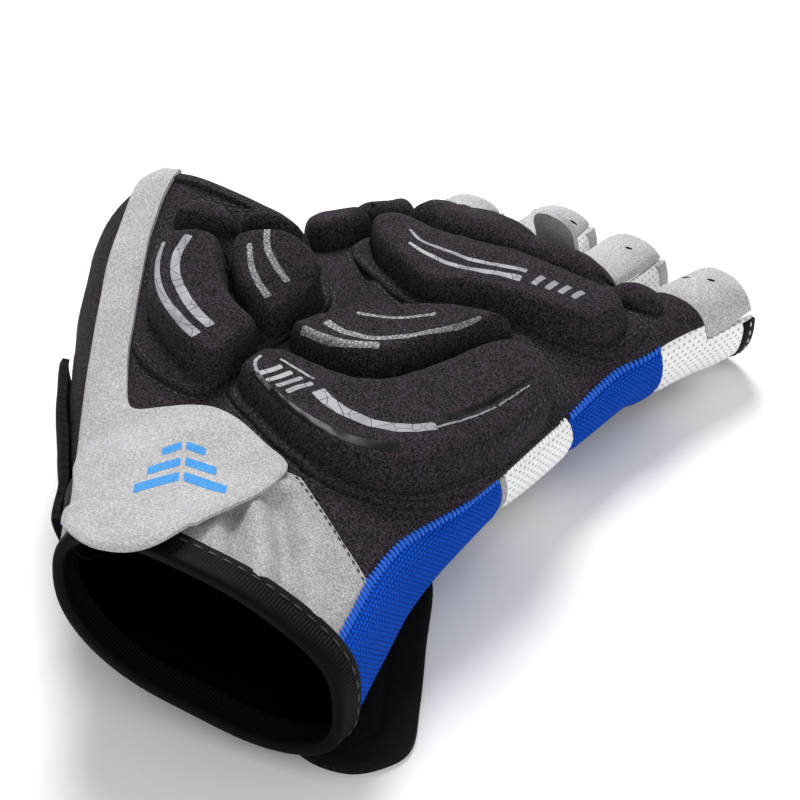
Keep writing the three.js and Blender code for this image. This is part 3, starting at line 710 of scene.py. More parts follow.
# hem outline, lumps with their heights, rounding
PADS = {
    "thenar_pad": ([
        (-76.5, 71), (-75.4, 64), (-71.6, 56.5), (-68.3, 50.1), (-62.2, 39), (-57, 33.9), (-50, 30.2),
        (-39.5, 28.6), (-33, 29.6), (-31.2, 34), (-31.2, 44), (-31.2, 56), (-31.4, 66), (-31.6, 74),
        (-34, 79),
        (-40, 82.6), (-47, 84.6), (-55, 83), (-62, 79), (-70, 77.6), (-75.4, 75),
    ], [(THENAR_LUMP_LONG, 6.8), (THENAR_LUMP_SHORT, 6.8), (THENAR_CAP_LEFT, 4.6),
    (THENAR_CAP_RIGHT, 4.2)], 3.0),
    "heel_pad": ([
        (-30.4, 57), (-30.3, 46), (-29.6, 38), (-26, 33.6), (-16, 30), (-6.5, 26.6), (5, 24.4), (13.8, 25.2),
        (20.4, 28.8), (25.8, 35), (29.4, 43.5), (31.4, 53.5), (32, 64.5), (31.6, 75.5), (30, 83.5), (27, 89),
        (22, 92), (16, 94.6), (10.6, 95.4), (3.4, 92.6), (-4, 89.6), (-9.4, 85.6), (-17.5, 79.4),
        (-24.5, 72.4), (-28.8, 64.5),
    ], [(HEEL_LUMP_OUTER, 6.8), (HEEL_LUMP_INNER, 7.2)], 3.2),
    "knuckle_pad": ([
        (-43.6, 107), (-44.8, 101.6), (-42.4, 97), (-35, 93), (-25.4, 89.2), (-17, 87.4), (-9.4, 88.2),
        (-4.4, 92.2),
        (1, 94.6), (8.2, 96.8), (17.6, 99.4), (25.2, 103), (29, 107.6), (31.4, 115), (30.6, 120),
        (26, 121.4),
        (20, 122), (14, 122.2), (8, 121), (0, 119.4), (-9, 117.6), (-17, 115), (-25, 113.2), (-33, 113.4),
        (-39.4, 112.8), (-43, 110.6),
    ], [(KNUCKLE_LUMP, 6.8)], 3.2),
    "index_pad_lower": (None, [(INDEX_LUMP_LOWER, 7.4)], 4.0),
    "index_pad_upper": (None, [(INDEX_LUMP_UPPER, 7.0)], 4.0),
    "crease_pad": (None, [(CREASE_LUMP, 8.4)], 7.0),
}
HEM = 1.1
HEM_EDGE = 0.7
STITCH_INSET = 1.2
PAD_REST = 0.25
PALM_FACE_LOW = 20.5


def dome(depth, rounding):
    """Height share of a lump, from 0 at its outline to 1 inside, on a quarter round."""
    t = np.clip(depth / rounding, 0, 1)
    return np.sqrt(np.maximum(1 - (1 - t) ** 2.4, 0))


def on_palm(cloth, field):
    return cut(cloth, np.minimum(field, cloth[0][:, 2] - PALM_FACE_LOW))


def raised(data, lift, upright=0.5):
    """Points moved out of the skin, part along its normal and part straight up."""
    way = data[:, 3:] * (1 - upright) + np.array([0, 0, upright])
    way /= np.linalg.norm(way, axis=1)[:, None]
    return data[:, :3] + way * lift[:, None]


# %% Make the pads
strip_curve = closed_curve(STRIP_AND_TAB, 4)
pad_tops = {}
for name, (hem, lumps, rounding) in PADS.items():
    curves = [(closed_curve(lump, 5), height) for lump, height in lumps]
    border = closed_curve(hem, 4) if hem else curves[0][0]
    sheet = on_palm(whole, np.minimum(inside(whole[0][:, :2], border),
        -inside(whole[0][:, :2], strip_curve) - 0.3))
    sheet = on_palm(sheet, -where(sheet, side_band) - 0.3)
    sheet = refined(sheet, 1)
    data, faces = sheet
    away = near_rim(data, data[np.unique(rim_of(faces)), :3])
    lift = np.full(len(data), PAD_REST + 0.1)
    if hem:
        groove = 0.4 * np.exp(-((away - STITCH_INSET) / 0.5) ** 2)
        lift += HEM * np.sqrt(np.clip(away / HEM_EDGE, 0, 1)) - groove
    for curve, height in curves:
        if name == "crease_pad":
            height = np.interp(data[:, 0], *np.array(CREASE_HEIGHTS).T)
        depth = inside(data[:, :2], curve)
        foot = 0.45 * np.exp(-((depth + 0.5) / 0.8) ** 2) * bool(hem)
        lift += height * dome(depth, rounding) * (depth > 0) - foot
    lift += 0.12 * wobble(data[:, :3], 6, 11)
    top = raised(data, np.maximum(lift, PAD_REST + 0.1))
    points, closed = thick(top, raised(data, np.full(len(data), PAD_REST)), faces)
    piece = add_piece(name, points, closed, np.vstack([data[:, :2], data[:, :2]]), [name])
    dressed_tops.append((top, faces))
    pad_tops[name] = (np.hstack([top, normals_of(top, faces)]), faces)
    print("pad", name, len(closed))

# %% [markdown]
# The light strip runs down from the tip of the thumb and widens into the tab over the wrist. It is one
# piece of suede with cut edges, sewn on along the thumb and loose at the tab, so the tab's lower side
# stands off a little.

# %% Strip and tab
SUEDE = 1.3
TAPE_PROUD = 0.8
CUFF_TAPE = 6.5
loose = (np.hstack([skin, normals]), skin_faces)
loose = cut(loose, -where(loose, thumb_end))
strip = refined(on_palm(loose, inside(loose[0][:, :2], strip_curve)), 1)
data, faces = strip
away = near_rim(data, data[np.unique(rim_of(faces)), :3])
over_tape = smoothstep((CUFF_TAPE + 3 - cuff_side(data[:, :3])) / 3) * (TAPE_PROUD + 0.3)
tab_side = smoothstep((data[:, 0] + 30) / 26) * smoothstep((22 - data[:, 1]) / 20)
stand = 0.35 + over_tape + 1.5 * tab_side * smoothstep(1 - away / 9)
edge_round = 0.35 * (1 - smoothstep(away / 0.9))
under = data[:, :3] + data[:, 3:] * stand[:, None]
top = data[:, :3] + data[:, 3:] * (stand + SUEDE - edge_round)[:, None]
points, closed = thick(top, under, faces)
add_piece("thumb_strip_and_tab", points, closed, np.vstack([data[:, :2]] * 2), ["thumb_strip_and_tab"])
dressed_tops.append((top, faces))
pad_tops["tab"] = (np.hstack([top, normals_of(top, faces)]), faces)

# %% [markdown]
# The tapes are folded over the open edges. Each is a rounded bar swept along the edge of the cloth that
# was cut, as wide as the tape and a little thicker than the cloth it holds.

# %% Find the open edges
def loops_of(faces):
    """The rim of a cloth as closed runs of point numbers."""
    follow = {int(a): int(b) for a, b in rim_of(faces)}
    runs = []
    while follow:
        start, spot = next(iter(follow.items()))
        run = [start]
        del follow[start]
        while spot != start and spot in follow:
            run.append(spot)
            spot = follow.pop(spot)
        runs.append(run)
    return sorted(runs, key=len, reverse=True)


def even(points, step, closed=True):
    """Points at even steps along a run, eased a little."""
    if closed:
        points = np.vstack([points, points[:1]])
    length = np.concatenate([[0], np.cumsum(np.linalg.norm(np.diff(points[:, :3], axis=0), axis=1))])
    count = max(int(round(length[-1] / step)), 8)
    at = np.linspace(0, length[-1], count, endpoint=not closed)
    out = np.stack([np.interp(at, length, points[:, k]) for k in range(points.shape[1])], 1)
    for _ in range(6):
        if closed:
            out = (np.roll(out, 1, 0) + 2 * out + np.roll(out, -1, 0)) / 4
        else:
            out[1:-1] = (out[:-2] + 2 * out[1:-1] + out[2:]) / 4
    return out


TAPE_SIDES = 28


def tape_profile(width, thickness, count=TAPE_SIDES):
    """A rounded bar: how far in from the edge, and how far out of the cloth."""
    turn = 2 * np.pi * np.arange(count) / count
    side = np.sign(np.cos(turn)) * abs(np.cos(turn)) ** 0.42
    rise = np.sign(np.sin(turn)) * abs(np.sin(turn)) ** 0.55
    return width / 2 + side * width / 2, rise * thickness / 2


def swept(run, profile, centre, closed=True):
    """A profile carried along a run. Columns: point, normal, then way into the cloth."""
    point, normal, into = run[:, :3], run[:, 3:6], run[:, 6:9]
    depth, out = profile
    rings = (point[:, None] + into[:, None] * depth[None, :, None]
             + normal[:, None] * (out[None, :, None] + centre))
    count, sides = rings.shape[:2]
    points = rings.reshape(-1, 3)
    faces = []
    for r in range(count if closed else count - 1):
        for i in range(sides):
            j, s = (i + 1) % sides, (r + 1) % count
            faces += [(r * sides + i, s * sides + i, s * sides + j),
                (r * sides + i, s * sides + j, r * sides + j)]
    if not closed:
        points = np.vstack([points, rings[0].mean(0)[None], rings[-1].mean(0)[None]])
        last, total = (count - 1) * sides, count * sides
        for i in range(sides):
            j = (i + 1) % sides
            faces += [(i, j, total), (last + j, last + i, total + 1)]
    length = np.concatenate([[0], np.cumsum(np.linalg.norm(np.diff(point, axis=0), axis=1))])
    flat = np.stack([np.repeat(length, sides), np.tile(depth, count)], 1)
    if not closed:
        flat = np.vstack([flat, flat[:1], flat[-1:]])
    return points, np.array(faces), flat


def outward(points, faces):
    """Faces turned so that the closed piece's outside is out."""
    a, b, c = points[faces[:, 0]], points[faces[:, 1]], points[faces[:, 2]]
    return faces if (a * np.cross(b, c)).sum() > 0 else faces[:, ::-1]


def edge_run(data, run, step, closed=True):
    rows = even(data[run], step, closed)
    rows[:, 3:6] /= np.linalg.norm(rows[:, 3:6], axis=1)[:, None]
    if closed:
        way = np.roll(rows[:, :3], -1, 0) - np.roll(rows[:, :3], 1, 0)
    else:
        way = np.gradient(rows[:, :3], axis=0)
    into = np.cross(rows[:, 3:6], way)
    into /= np.linalg.norm(into, axis=1)[:, None]
    return np.hstack([rows, into])


# %% Cuff tape, finger tapes and the hem of the thumb
FINGER_TAPE = 3.5
# how far a tape's fold reaches past the cloth's edge
CUFF_FOLD, FINGER_FOLD = 0.8, 0.5
data, faces = whole
loops = loops_of(faces)
open_edges = {}
for run in loops[:8]:
    middle = data[run, :3].mean(0)
    if middle[1] < 0:
        open_edges["cuff"] = run
    elif middle[1] < 100 and middle[0] < -50:
        open_edges["thumb"] = run
    else:
        nearest = min(FINGERS, key=lambda n: np.linalg.norm(finger_line(n)[1] - middle[:2]))
        open_edges.setdefault(nearest, run)
print("open edges:", {name: len(run) for name, run in open_edges.items()})

tape_runs = {}
run = edge_run(data, open_edges["cuff"], 1.0)
tape_runs["cuff"] = run
points, closed, flat = swept(run, tape_profile(CUFF_TAPE + 1.0, CLOTH_WALL + 2 * TAPE_PROUD),
    -CLOTH_WALL / 2)
points -= np.repeat(run[:, 6:9], TAPE_SIDES, 0) * CUFF_FOLD
add_piece("cuff_binding", points, outward(points, closed), flat, ["cuff_binding"])
for name in FINGERS:
    run = open_edges[name]
    keep = face_side(data[run, :3], name) < -SEAM_GAP
    start = int(np.argmax(keep & ~np.roll(keep, 1)))
    turned = np.roll(np.array(run), -start)
    turned = turned[:int(np.argmax(~np.roll(keep, -start)))]
    run = edge_run(data, turned, 0.8, closed=False)
    tape_runs[name] = run
    points, closed, flat = swept(run, tape_profile(FINGER_TAPE + 0.5, CLOTH_WALL + 1.2), -CLOTH_WALL / 2,
        closed=False)
    points[:-2] -= np.repeat(run[:, 6:9] * FINGER_FOLD, TAPE_SIDES, 0)
    node = "finger_binding_" + name
    add_piece(node, points, outward(points, closed), flat, [node])
run = edge_run(data, open_edges["thumb"], 1.0)
points, closed, flat = swept(run, tape_profile(3.2, CLOTH_WALL + 0.9, 20), -CLOTH_WALL / 2)
add_piece("thumb_hem", points, outward(points, closed), flat)
print("tapes made")

# %% [markdown]
# The strap goes round the back of the wrist. Its band follows the skin, and its free end lies on the
# table: a flat tongue with a rounded end and a bound, stitched edge.

# %% Wrist strap
STRAP = 2.2
STRAP_FROM, STRAP_TO = -9, 31
STRAP_BACK = [(-40, 50), (0, 56), (40, 60)]
STRAP_BULGE = 0.5
STRAP_UNDER = [(-40, 12), (60, 12)]
STRAP_END = 24
STRAP_TONGUE = [(14, -9), (30, -14.5), (41, -13), (47, -7), (48.5, 0), (43, 10), (34, 24), (22, 42),
    (14, 40)]


def strap_side(p):
    x, y, z = p.T
    top = np.where(x < -12, heights(STRAP_BACK, y), heights(STRAP_UNDER, y))
    return np.minimum.reduce([y - STRAP_FROM, STRAP_TO - y, top - z, STRAP_END - x])


band = refined(cut(loose, where(loose, strap_side)), 1)
data, faces = band
away = near_rim(data, data[np.unique(rim_of(faces)), :3])
over = 0.35 + (TAPE_PROUD + 0.2) * smoothstep((CUFF_TAPE + 3 - cuff_side(data[:, :3])) / 3)
over += STRAP_BULGE * smoothstep((-26 - 0.45 * data[:, 1] - data[:, 0]) / 12)
out = over + STRAP - 0.5 * (1 - smoothstep(away / 1.2)) - 0.35 * np.exp(-((away - 6) / 0.5) ** 2)
top = data[:, :3] + data[:, 3:] * out[:, None]
under = data[:, :3] + data[:, 3:] * over[:, None]
top[:, 2], under[:, 2] = np.maximum(top[:, 2], 0.05), np.maximum(under[:, 2], 0.12)
band_points, band_faces = thick(top, under, faces)
band_map = side_map(data)

tongue = closed_curve(STRAP_TONGUE, 10)
grid_x, grid_y = np.meshgrid(np.arange(10, 52, 0.7), np.arange(-18, 46, 0.7))
count_y, count_x = grid_x.shape
flat_points = np.stack([grid_x.ravel(), grid_y.ravel(), np.zeros(grid_x.size)], 1)
number = np.arange(grid_x.size).reshape(count_y, count_x)
a, b, c, d = number[:-1, :-1].ravel(), number[:-1, 1:].ravel(), number[1:, 1:].ravel(), number[1:,
    :-1].ravel()
flat_faces = np.vstack([np.stack([a, b, c], 1), np.stack([a, c, d], 1)])
tongue_cloth = (np.hstack([flat_points, np.tile([0.0, 0, 1], (len(flat_points), 1))]), flat_faces)
tongue_cloth = cut(tongue_cloth, inside(tongue_cloth[0][:, :2], tongue))
data, faces = tongue_cloth
away = np.maximum(inside(data[:, :2], tongue), 0)
tongue_seam = 0.4 * np.exp(-((away - 7.5) / 0.5) ** 2)
lift = 2.3 - 0.6 * (1 - smoothstep(away / 1.0)) - tongue_seam + 0.1 * wobble(data[:, :3], 14)
top = data[:, :3] + np.array([0, 0, 1]) * lift[:, None]
under = data[:, :3] + np.array([0, 0, 0.0])
tongue_points, tongue_faces = thick(top, under, faces)
points, closed = joined([(band_points, band_faces), (tongue_points, tongue_faces)])
strap_map = np.vstack([band_map, band_map, data[:, :2], data[:, :2]])
add_piece("wrist_strap", points, closed, strap_map, ["wrist_strap"])

# %% [markdown]
# A pull tab stands between the middle finger and the ring finger, to draw the glove off. It is a folded
# scrap of suede: a rounded tongue that leans over.

# %% Pull tab
PULL_ROOT, PULL_BASE = np.array([-8.0, 137.0]), 24.0
PULL_WIDTH, PULL_HEIGHT, PULL_THICK = 12, 13, 1.6
across_steps, up_steps = 18, 22
rows = []
for k in range(up_steps + 1):
    rise = k / up_steps * (PULL_HEIGHT + 2) - 2
    over = max(rise - (PULL_HEIGHT - PULL_WIDTH / 2), 0)
    half = math.sqrt(max((PULL_WIDTH / 2) ** 2 - over ** 2, 0.02))
    half = half if over > 0 else PULL_WIDTH / 2
    rows.append([(s * half, rise) for s in np.linspace(-1, 1, across_steps + 1)])
rows = np.array(rows).reshape(-1, 2)
rise = rows[:, 1]
bend = 0.10 * np.maximum(rise, 0) ** 1.3
top = np.stack([PULL_ROOT[0] + rows[:, 0], PULL_ROOT[1] - bend + 0.02 * rows[:, 0] ** 2,
    PULL_BASE + rise], 1)
number = np.arange(len(rows)).reshape(up_steps + 1, across_steps + 1)
a, b, c, d = number[:-1, :-1].ravel(), number[:-1, 1:].ravel(), number[1:, 1:].ravel(), number[1:,
    :-1].ravel()
faces = np.vstack([np.stack([a, b, c], 1), np.stack([a, c, d], 1)])
points, closed = thick(top, top + np.array([0, PULL_THICK, 0.3]), faces)
add_piece("finger_pull_tab", points, outward(points, closed), np.vstack([rows, rows]), ["finger_pull_tab"])

# %% [markdown]
# Silver stripes are printed on the pads. A print follows every dent of its cloth, so each one is cut
# out of the pad's own surface along a ribbon outline and lifted by less than a tenth of a millimetre.
# Short leaning bars end two of the stripes, and the tab has a plain fan of blue chevrons.

# %% Print tables
PRINT_LIFT = 0.07
# pad, finish, width at start, width at end, line
STRIPES = [
    ("thenar_pad", "silver_print", 2.2, 2.4,
        [(-61, 61), (-59.6, 55.4), (-55.6, 50), (-49.4, 45.8), (-43.4, 43), (-37.4, 41.8)]),
    ("thenar_pad", "silver_print", 0.8, 2.6,
        [(-65, 56.4), (-61.6, 50.4), (-56.6, 45.2), (-50.6, 41.4), (-44, 38.8), (-38, 37.6)]),
    ("thenar_pad", "cracked_print", 1.2, 2.0, [(-46.6, 66.4), (-42.2, 61.8), (-38.2, 59.4), (-34.6, 58.4)]),
    ("thenar_pad", "cracked_print", 1.4, 2.0, [(-47, 73.6), (-42.8, 68.4), (-38.6, 66), (-34.4, 65)]),
    ("heel_pad", "cracked_print", 1.8, 2.0, [(-23.6, 57), (-17.4, 56.8), (-11.4, 57.8), (-4.4, 61.4)]),
    ("heel_pad", "cracked_print", 2.0, 0.7, [
        (-20.6, 62), (-14.6, 61), (-8.4, 62.2), (-2.6, 66.6), (1.2, 73), (4, 80), (6, 86)]),
    ("heel_pad", "cracked_print", 1.0, 1.0, [(-17, 68.6), (-11, 70.8), (-5.6, 74.8), (-2, 79.6)]),
    ("heel_pad", "silver_print", 3.2, 2.2,
        [(-5, 40.4), (-0.6, 39), (4.4, 38.6), (11, 40.2), (16.8, 44), (20.8, 49)]),
    ("heel_pad", "silver_print", 0.5, 0.4, [(20.8, 48.2), (23, 53.6), (24.8, 60), (26, 68), (26.6, 76)]),
    ("heel_pad", "gloss_print", 1.6, 0.5, [(19.6, 50), (21.6, 55), (23.4, 62), (24.8, 70), (25.6, 79)]),
    ("heel_pad", "silver_print", 0.8, 0.8, [(-24, 43.2), (-23.4, 40.6), (-20, 37.6), (-14, 35)]),
    ("heel_pad", "gloss_print", 1.0, 3.0, [(-21.4, 37.6), (-14, 35), (-6.4, 32.8), (0.6, 31.6),
        (8, 31.6), (14, 34), (19, 38.4)]),
    ("heel_pad", "silver_print", 0.6, 0.6, [(-19.4, 44.4), (-14, 44), (-8.4, 43.4)]),
    ("knuckle_pad", "silver_print", 0.7, 1.6,
        [(-29, 104.6), (-24, 102.2), (-17, 102.4), (-9, 104.2), (-2, 106.6), (3.4, 108.4)]),
    ("knuckle_pad", "silver_print", 0.8, 2.2,
        [(-25.4, 99.6), (-20, 98.4), (-13, 98.8), (-5.6, 101.4), (0, 103.8), (4, 105)]),
]
# pad, first bar, last bar, bars, length, width, lean
BAR_ROWS = [
    ("heel_pad", (-18.6, 39.8), (-9, 39), 4, 6.0, 1.5, 0.35),
    ("knuckle_pad", (7.4, 107.4), (16.6, 110.6), 4, 4.2, 1.5, 0.35),
]
CHEVRON_MIDDLE, CHEVRON_STEP = (-16.4, 8.6), 6.0
CHEVRON_WAY = (-0.66, 0.75)
# half width, arm width of each chevron
CHEVRONS = [(9.5, 3.6), (7.2, 3.2), (4.6, 2.8)]


# %% Cut the prints
def ribbon(line, start, end):
    """Outline of a band along a line, from one width to another."""
    points = eased(line, 6)
    way = np.gradient(points, axis=0)
    way /= np.linalg.norm(way, axis=1)[:, None]
    side = np.stack([-way[:, 1], way[:, 0]], 1)
    half = np.linspace(start, end, len(points))[:, None] / 2
    return np.vstack([points + side * half, (points - side * half)[::-1]])


printed = {}


def print_on(pad, finish, outline):
    cloth = cut(pad_tops[pad], inside(pad_tops[pad][0][:, :2], outline))
    data, faces = cloth
    if len(faces):
        points, closed = thick(data[:, :3] + data[:, 3:] * PRINT_LIFT, data[:, :3] + data[:, 3:] * 0.01,
            faces)
        printed.setdefault(finish, []).append((points, closed))


for pad, finish, start, end, line in STRIPES:
    print_on(pad, finish, ribbon(line, start, end))
for pad, first, last, count, length, width, lean in BAR_ROWS:
    first, last = np.array(first), np.array(last)
    way = (last - first) / np.linalg.norm(last - first)
    up = np.array([-way[1], way[0]]) + way * lean
    for share in np.linspace(0, 1, count):
        middle = first + (last - first) * share
        print_on(pad, "silver_print", ribbon([middle - up * length / 2, middle + up * length / 2], width,
            width))
way = np.array(CHEVRON_WAY)
side = np.array([-way[1], way[0]])
for i, (half, arm) in enumerate(CHEVRONS):
    tip = np.array(CHEVRON_MIDDLE) + way * (i - 1) * CHEVRON_STEP
    for sign in (-1, 1):
        a, b = tip + sign * side * 0.5, tip + sign * side * half - way * half * 0.55
        print_on("tab", "motif_print", [a - way * arm / 2, b - way * arm / 2, b + way * arm / 2,
            a + way * arm / 2])
for finish, parts in printed.items():
    points, faces = joined(parts)
    add_piece(finish, points, faces, points[:, :2])
    print(finish, len(faces), "faces")

# %% [markdown]
# Stitches are small bars of thread, one after another along a seam. Each end is dropped onto the
# dressed glove, and the thread stands up a little between the needle holes.

# %% Stitches
THREAD = 0.26
surface = BVHTree.FromPolygons(*[list(map(tuple, part)) for part in joined(dressed_tops)])


def bar(start, end, normal, half_wide, half_high, rings=5, sides=6):
    """A small bar that tapers to both ends and stands up between them."""
    start, end = np.array(start), np.array(end)
    across = np.cross(end - start, normal)
    across /= np.linalg.norm(across)
    turn = 2 * np.pi * np.arange(sides) / sides
    points = []
    for t in np.linspace(0, 1, rings):
        swell = math.sqrt(max(1 - (2 * t - 1) ** 2, 0.12))
        middle = start + (end - start) * t + normal * half_high * swell * 0.6
        points.append(middle + swell * (np.cos(turn)[:, None] * half_wide * across + np.sin(turn)[:,
            None] * half_high * normal))
    points, faces = tube(points)
    return points, outward(points - points.mean(0), faces)


def sew(rows, length, gap, half_wide=THREAD, half_high=THREAD * 0.8):
    """Bars along rows of point and normal."""
    run = np.concatenate([[0], np.cumsum(np.linalg.norm(np.diff(rows[:, :3], axis=0), axis=1))])
    out = []
    for at in np.arange(0, run[-1] - length, length + gap):
        first, last = np.searchsorted(run, (at, at + length))
        if np.diff(run[max(first - 1, 0):last + 1]).max() > 2.5:
            continue
        ends = [[np.interp(at + more, run, rows[:, k]) for k in range(6)] for more in (0, length)]
        out.append(bar(ends[0][:3], ends[1][:3], np.array(ends[0][3:]), half_wide, half_high))
    return out


def dropped(line, step=0.8):
    """A plan line laid on the dressed glove."""
    rows = []
    for x, y in even(np.array(line, float), step, closed=False):
        point, normal, _, _ = surface.ray_cast(Vector((x, y, 100)), Vector((0, 0, -1)))
        if point and normal.z > 0.15:
            rows.append([*point, *normal])
    return np.array(rows).reshape(-1, 6)


def on_black(rows, lumps):
    """Leaves out what falls on the light strip, on the side or on a lump."""
    kept = (inside(rows[:, :2], strip_curve) < -0.8) & (side_band(rows[:, :3]) < -1.0)
    for lump, _ in lumps:
        kept &= inside(rows[:, :2], closed_curve(lump, 5)) < -0.5
    return rows[kept]


def inset(outline, depth):
    """A closed outline moved inward."""
    way = np.roll(outline, -1, 0) - np.roll(outline, 1, 0)
    way /= np.linalg.norm(way, axis=1)[:, None]
    side = np.stack([-way[:, 1], way[:, 0]], 1)
    turned = inside(outline + side * 0.2, outline) > 0
    return outline + side * np.where(turned.mean() > 0.5, 1, -1) * depth


dark_seams = []
for name in ("thenar_pad", "heel_pad", "knuckle_pad"):
    border = closed_curve(PADS[name][0], 4)
    for depth in (-1.0, STITCH_INSET):
        dark_seams += sew(on_black(dropped(inset(border, depth)), PADS[name][1]), 1.5, 0.8)
GORE_EDGE = [(3, 22.2), (12, 18.6), (22, 14.2), (33, 9.4)]
THUMB_EDGE = [(-46, 85), (-38, 79.6), (-32.6, 74.6)]
for line in (GORE_EDGE, THUMB_EDGE):
    dark_seams += sew(dropped(eased(line, 4)), 1.2, 0.9)
points, faces = joined(dark_seams)
add_piece("dark_stitches", points, faces)


def on_tape(name, width, proud):
    """Rows along a tape's outer side, near its inner edge."""
    run = tape_runs[name]
    return np.hstack([run[:, :3] + run[:, 6:9] * width + run[:, 3:6] * proud, run[:, 3:6]])


tape_seam = sew(on_tape("cuff", CUFF_TAPE - 1.9, TAPE_PROUD), 2.2, 1.2)
points, faces = joined(tape_seam)
add_piece("tape_stitches", points, faces)
white_seam = sew(on_tape("little", 1.6, 0.6), 1.5, 1.2, 0.22)

# %% [markdown]
# The palm is joined to the mesh gussets with a looped seam: thick threads side by side that lie across
# the edge. Each loop is one small bar between two points on the dressed glove, in the colour of its
# gusset. The strip's edges and the little finger's tape have light stitches. The finger faces have a few
# short vent slits; each is a dark bar in the lining's black laid on the face: painted shade of the opening.

# %% Looped seams along the side
LOOP_STEP = 1.25
LOOP_WIDE, LOOP_HIGH = 0.52, 0.42
LOOP_START = -17
loops_made = {"blue_mesh": [], "white_mesh": []}
for name, (start, end) in SIDE_PIECES.items():
    if name == "side_piping":
        continue
    finish_name = "blue_mesh" if "blue" in name else "white_mesh"
    for y in np.arange(max(start, LOOP_START), end, LOOP_STEP):
        z = heights(SIDE_SEAM, y, 2)
        ends = [surface.ray_cast(Vector((120, y, z + more)), Vector((-1, 0, 0)))[:2] for more in (0.5, -1.0)]
        if all(point for point, _ in ends) and cuff_side(np.array([ends[0][0]]))[0] > CUFF_TAPE:
            loops_made[finish_name].append(
                bar(ends[0][0], ends[1][0], np.array(ends[1][1]), LOOP_WIDE, LOOP_HIGH))
for finish_name, bars in loops_made.items():
    points, faces = joined(bars)
    add_piece(finish_name.replace("mesh", "loops"), points, faces, points[:, 1:])
    print(finish_name, "loops:", len(bars))

# %% Light stitches, and painted shade of the vent slits
STRIP_SEAMS = [
    [(-94, 77), (-85, 60.5), (-77.6, 49.4), (-70, 38.6), (-61.4, 27)],
    [(-84, 73), (-79, 63.4), (-73.6, 55.4), (-66.4, 45), (-60.4, 36.4), (-53, 26.6), (-46.6, 20)],
]
light_seam = list(white_seam)
for line in STRIP_SEAMS:
    light_seam += sew(dropped(eased(line, 4)), 1.6, 1.0, 0.2)
points, faces = joined(light_seam)
add_piece("light_stitches", points, faces)
SLITS = [((26.2, 142.6), (28.2, 143.3)), ((32.4, 144.4), (34.4, 145)), ((4.4, 151), (6.2, 151.7)),
    ((-15.4, 155), (-13.6, 155.7))]
# The slits are not cut open: each is a near-black bar on the face, painted shade of the slit's opening in
# the lining's black.
slit_shade_bars = []
for start, end in SLITS:
    rows = dropped([start, end], 0.5)
    if len(rows) > 1:
        slit_shade_bars.append(bar(rows[0, :3], rows[-1, :3], rows[0, 3:], 0.45, 0.12))
points, faces = joined(slit_shade_bars)
add_piece("face_slits", points, faces)
print("stitches:", len(dark_seams), "dark,", len(light_seam), "light")

# %% [markdown]
# The glove lies on a plain white table under soft light, seen from above its cuff.

# %% Camera, lights and table
EYE_TURN, EYE_HEIGHT, EYE_ROLL, EYE_DISTANCE = 41, 40, -5, 0.42
AIM = (np.array([0, 60, 20.0]) + HAND_TO_FRAME) * MILLIMETRE
FOCAL = 1806 / 800 * 36


def plain(name, colour, roughness=0.9):
    material = bpy.data.materials.new(name)
    material.use_nodes = True
    shader = material.node_tree.nodes["Principled BSDF"]
    shader.inputs["Base Color"].default_value = (*colour, 1)
    shader.inputs["Roughness"].default_value = roughness
    return material


turn, height, roll = [math.radians(angle) for angle in (EYE_TURN, EYE_HEIGHT, EYE_ROLL)]
back = Vector((math.sin(turn) * math.cos(height), -math.cos(turn) * math.cos(height), math.sin(height)))
right = Vector((math.cos(turn), math.sin(turn), 0))
above = back.cross(right)
right, above = (right * math.cos(roll) + above * math.sin(roll),
    above * math.cos(roll) - right * math.sin(roll))
eye = bpy.data.objects.new("eye", bpy.data.cameras.new("eye"))
eye.matrix_world = Matrix.Translation(Vector(AIM) + back * EYE_DISTANCE) @ Matrix(
    (right, above, back)).transposed().to_4x4()
eye.data.lens = FOCAL
eye.data.sensor_width = 36
eye.data.shift_x, eye.data.shift_y = 0.0025, 0.045
eye.data.clip_start = 0.01
bpy.context.scene.collection.objects.link(eye)
bpy.context.scene.camera = eye

table_mesh = bpy.data.meshes.new("table")
table_mesh.from_pydata([(-3, -3, 0), (3, -3, 0), (3, 3, 0), (-3, 3, 0)], [], [(0, 1, 2, 3)])
table = bpy.data.objects.new("table", table_mesh)
bpy.context.scene.collection.objects.link(table)
table_mesh.materials.append(plain("table_white", (0.92, 0.92, 0.92), 0.8))

world = bpy.data.worlds.new("studio")
bpy.context.scene.world = world
world.use_nodes = True
world.node_tree.nodes["Background"].inputs["Color"].default_value = (1, 1, 1, 1)
world.node_tree.nodes["Background"].inputs["Strength"].default_value = 0.6


def soft_light(name, place, aim, size, power):
    light = bpy.data.objects.new(name, bpy.data.lights.new(name, "AREA"))
    light.data.shape = "DISK"
    light.data.size = size
    light.data.energy = power
    light.location = place
    light.rotation_euler = (Vector(aim) - Vector(place)).to_track_quat("-Z", "Y").to_euler()
    bpy.context.scene.collection.objects.link(light)


bpy.context.scene.view_settings.view_transform = "Standard"
soft_light("key", (-0.4, 0.5, 0.75), (0, 0, 0.02), 0.45, 10)
soft_light("fill", (0.65, -0.3, 0.3), (0, 0, 0.02), 0.6, 1.6)

# %% [markdown]
# Finishes. Suede is a field of short fibres that stand every way, so it shows as fine light and dark
# grains. Knit, mesh and tape are rows of loops, holes and ribs, drawn along the cloth map of each
# piece. These effects serve several materials, so each is one node group with its own sizes and
# colours.

# %% Node helpers
def group_of(name, inputs, outputs):
    tree = bpy.data.node_groups.new(name, "ShaderNodeTree")
    for title, kind, value in inputs:
        tree.interface.new_socket(name=title, in_out="INPUT",
            socket_type="NodeSocket" + kind).default_value = value
    for title, kind in outputs:
        tree.interface.new_socket(name=title, in_out="OUTPUT", socket_type="NodeSocket" + kind)
    return tree, tree.nodes.new("NodeGroupInput"), tree.nodes.new("NodeGroupOutput")


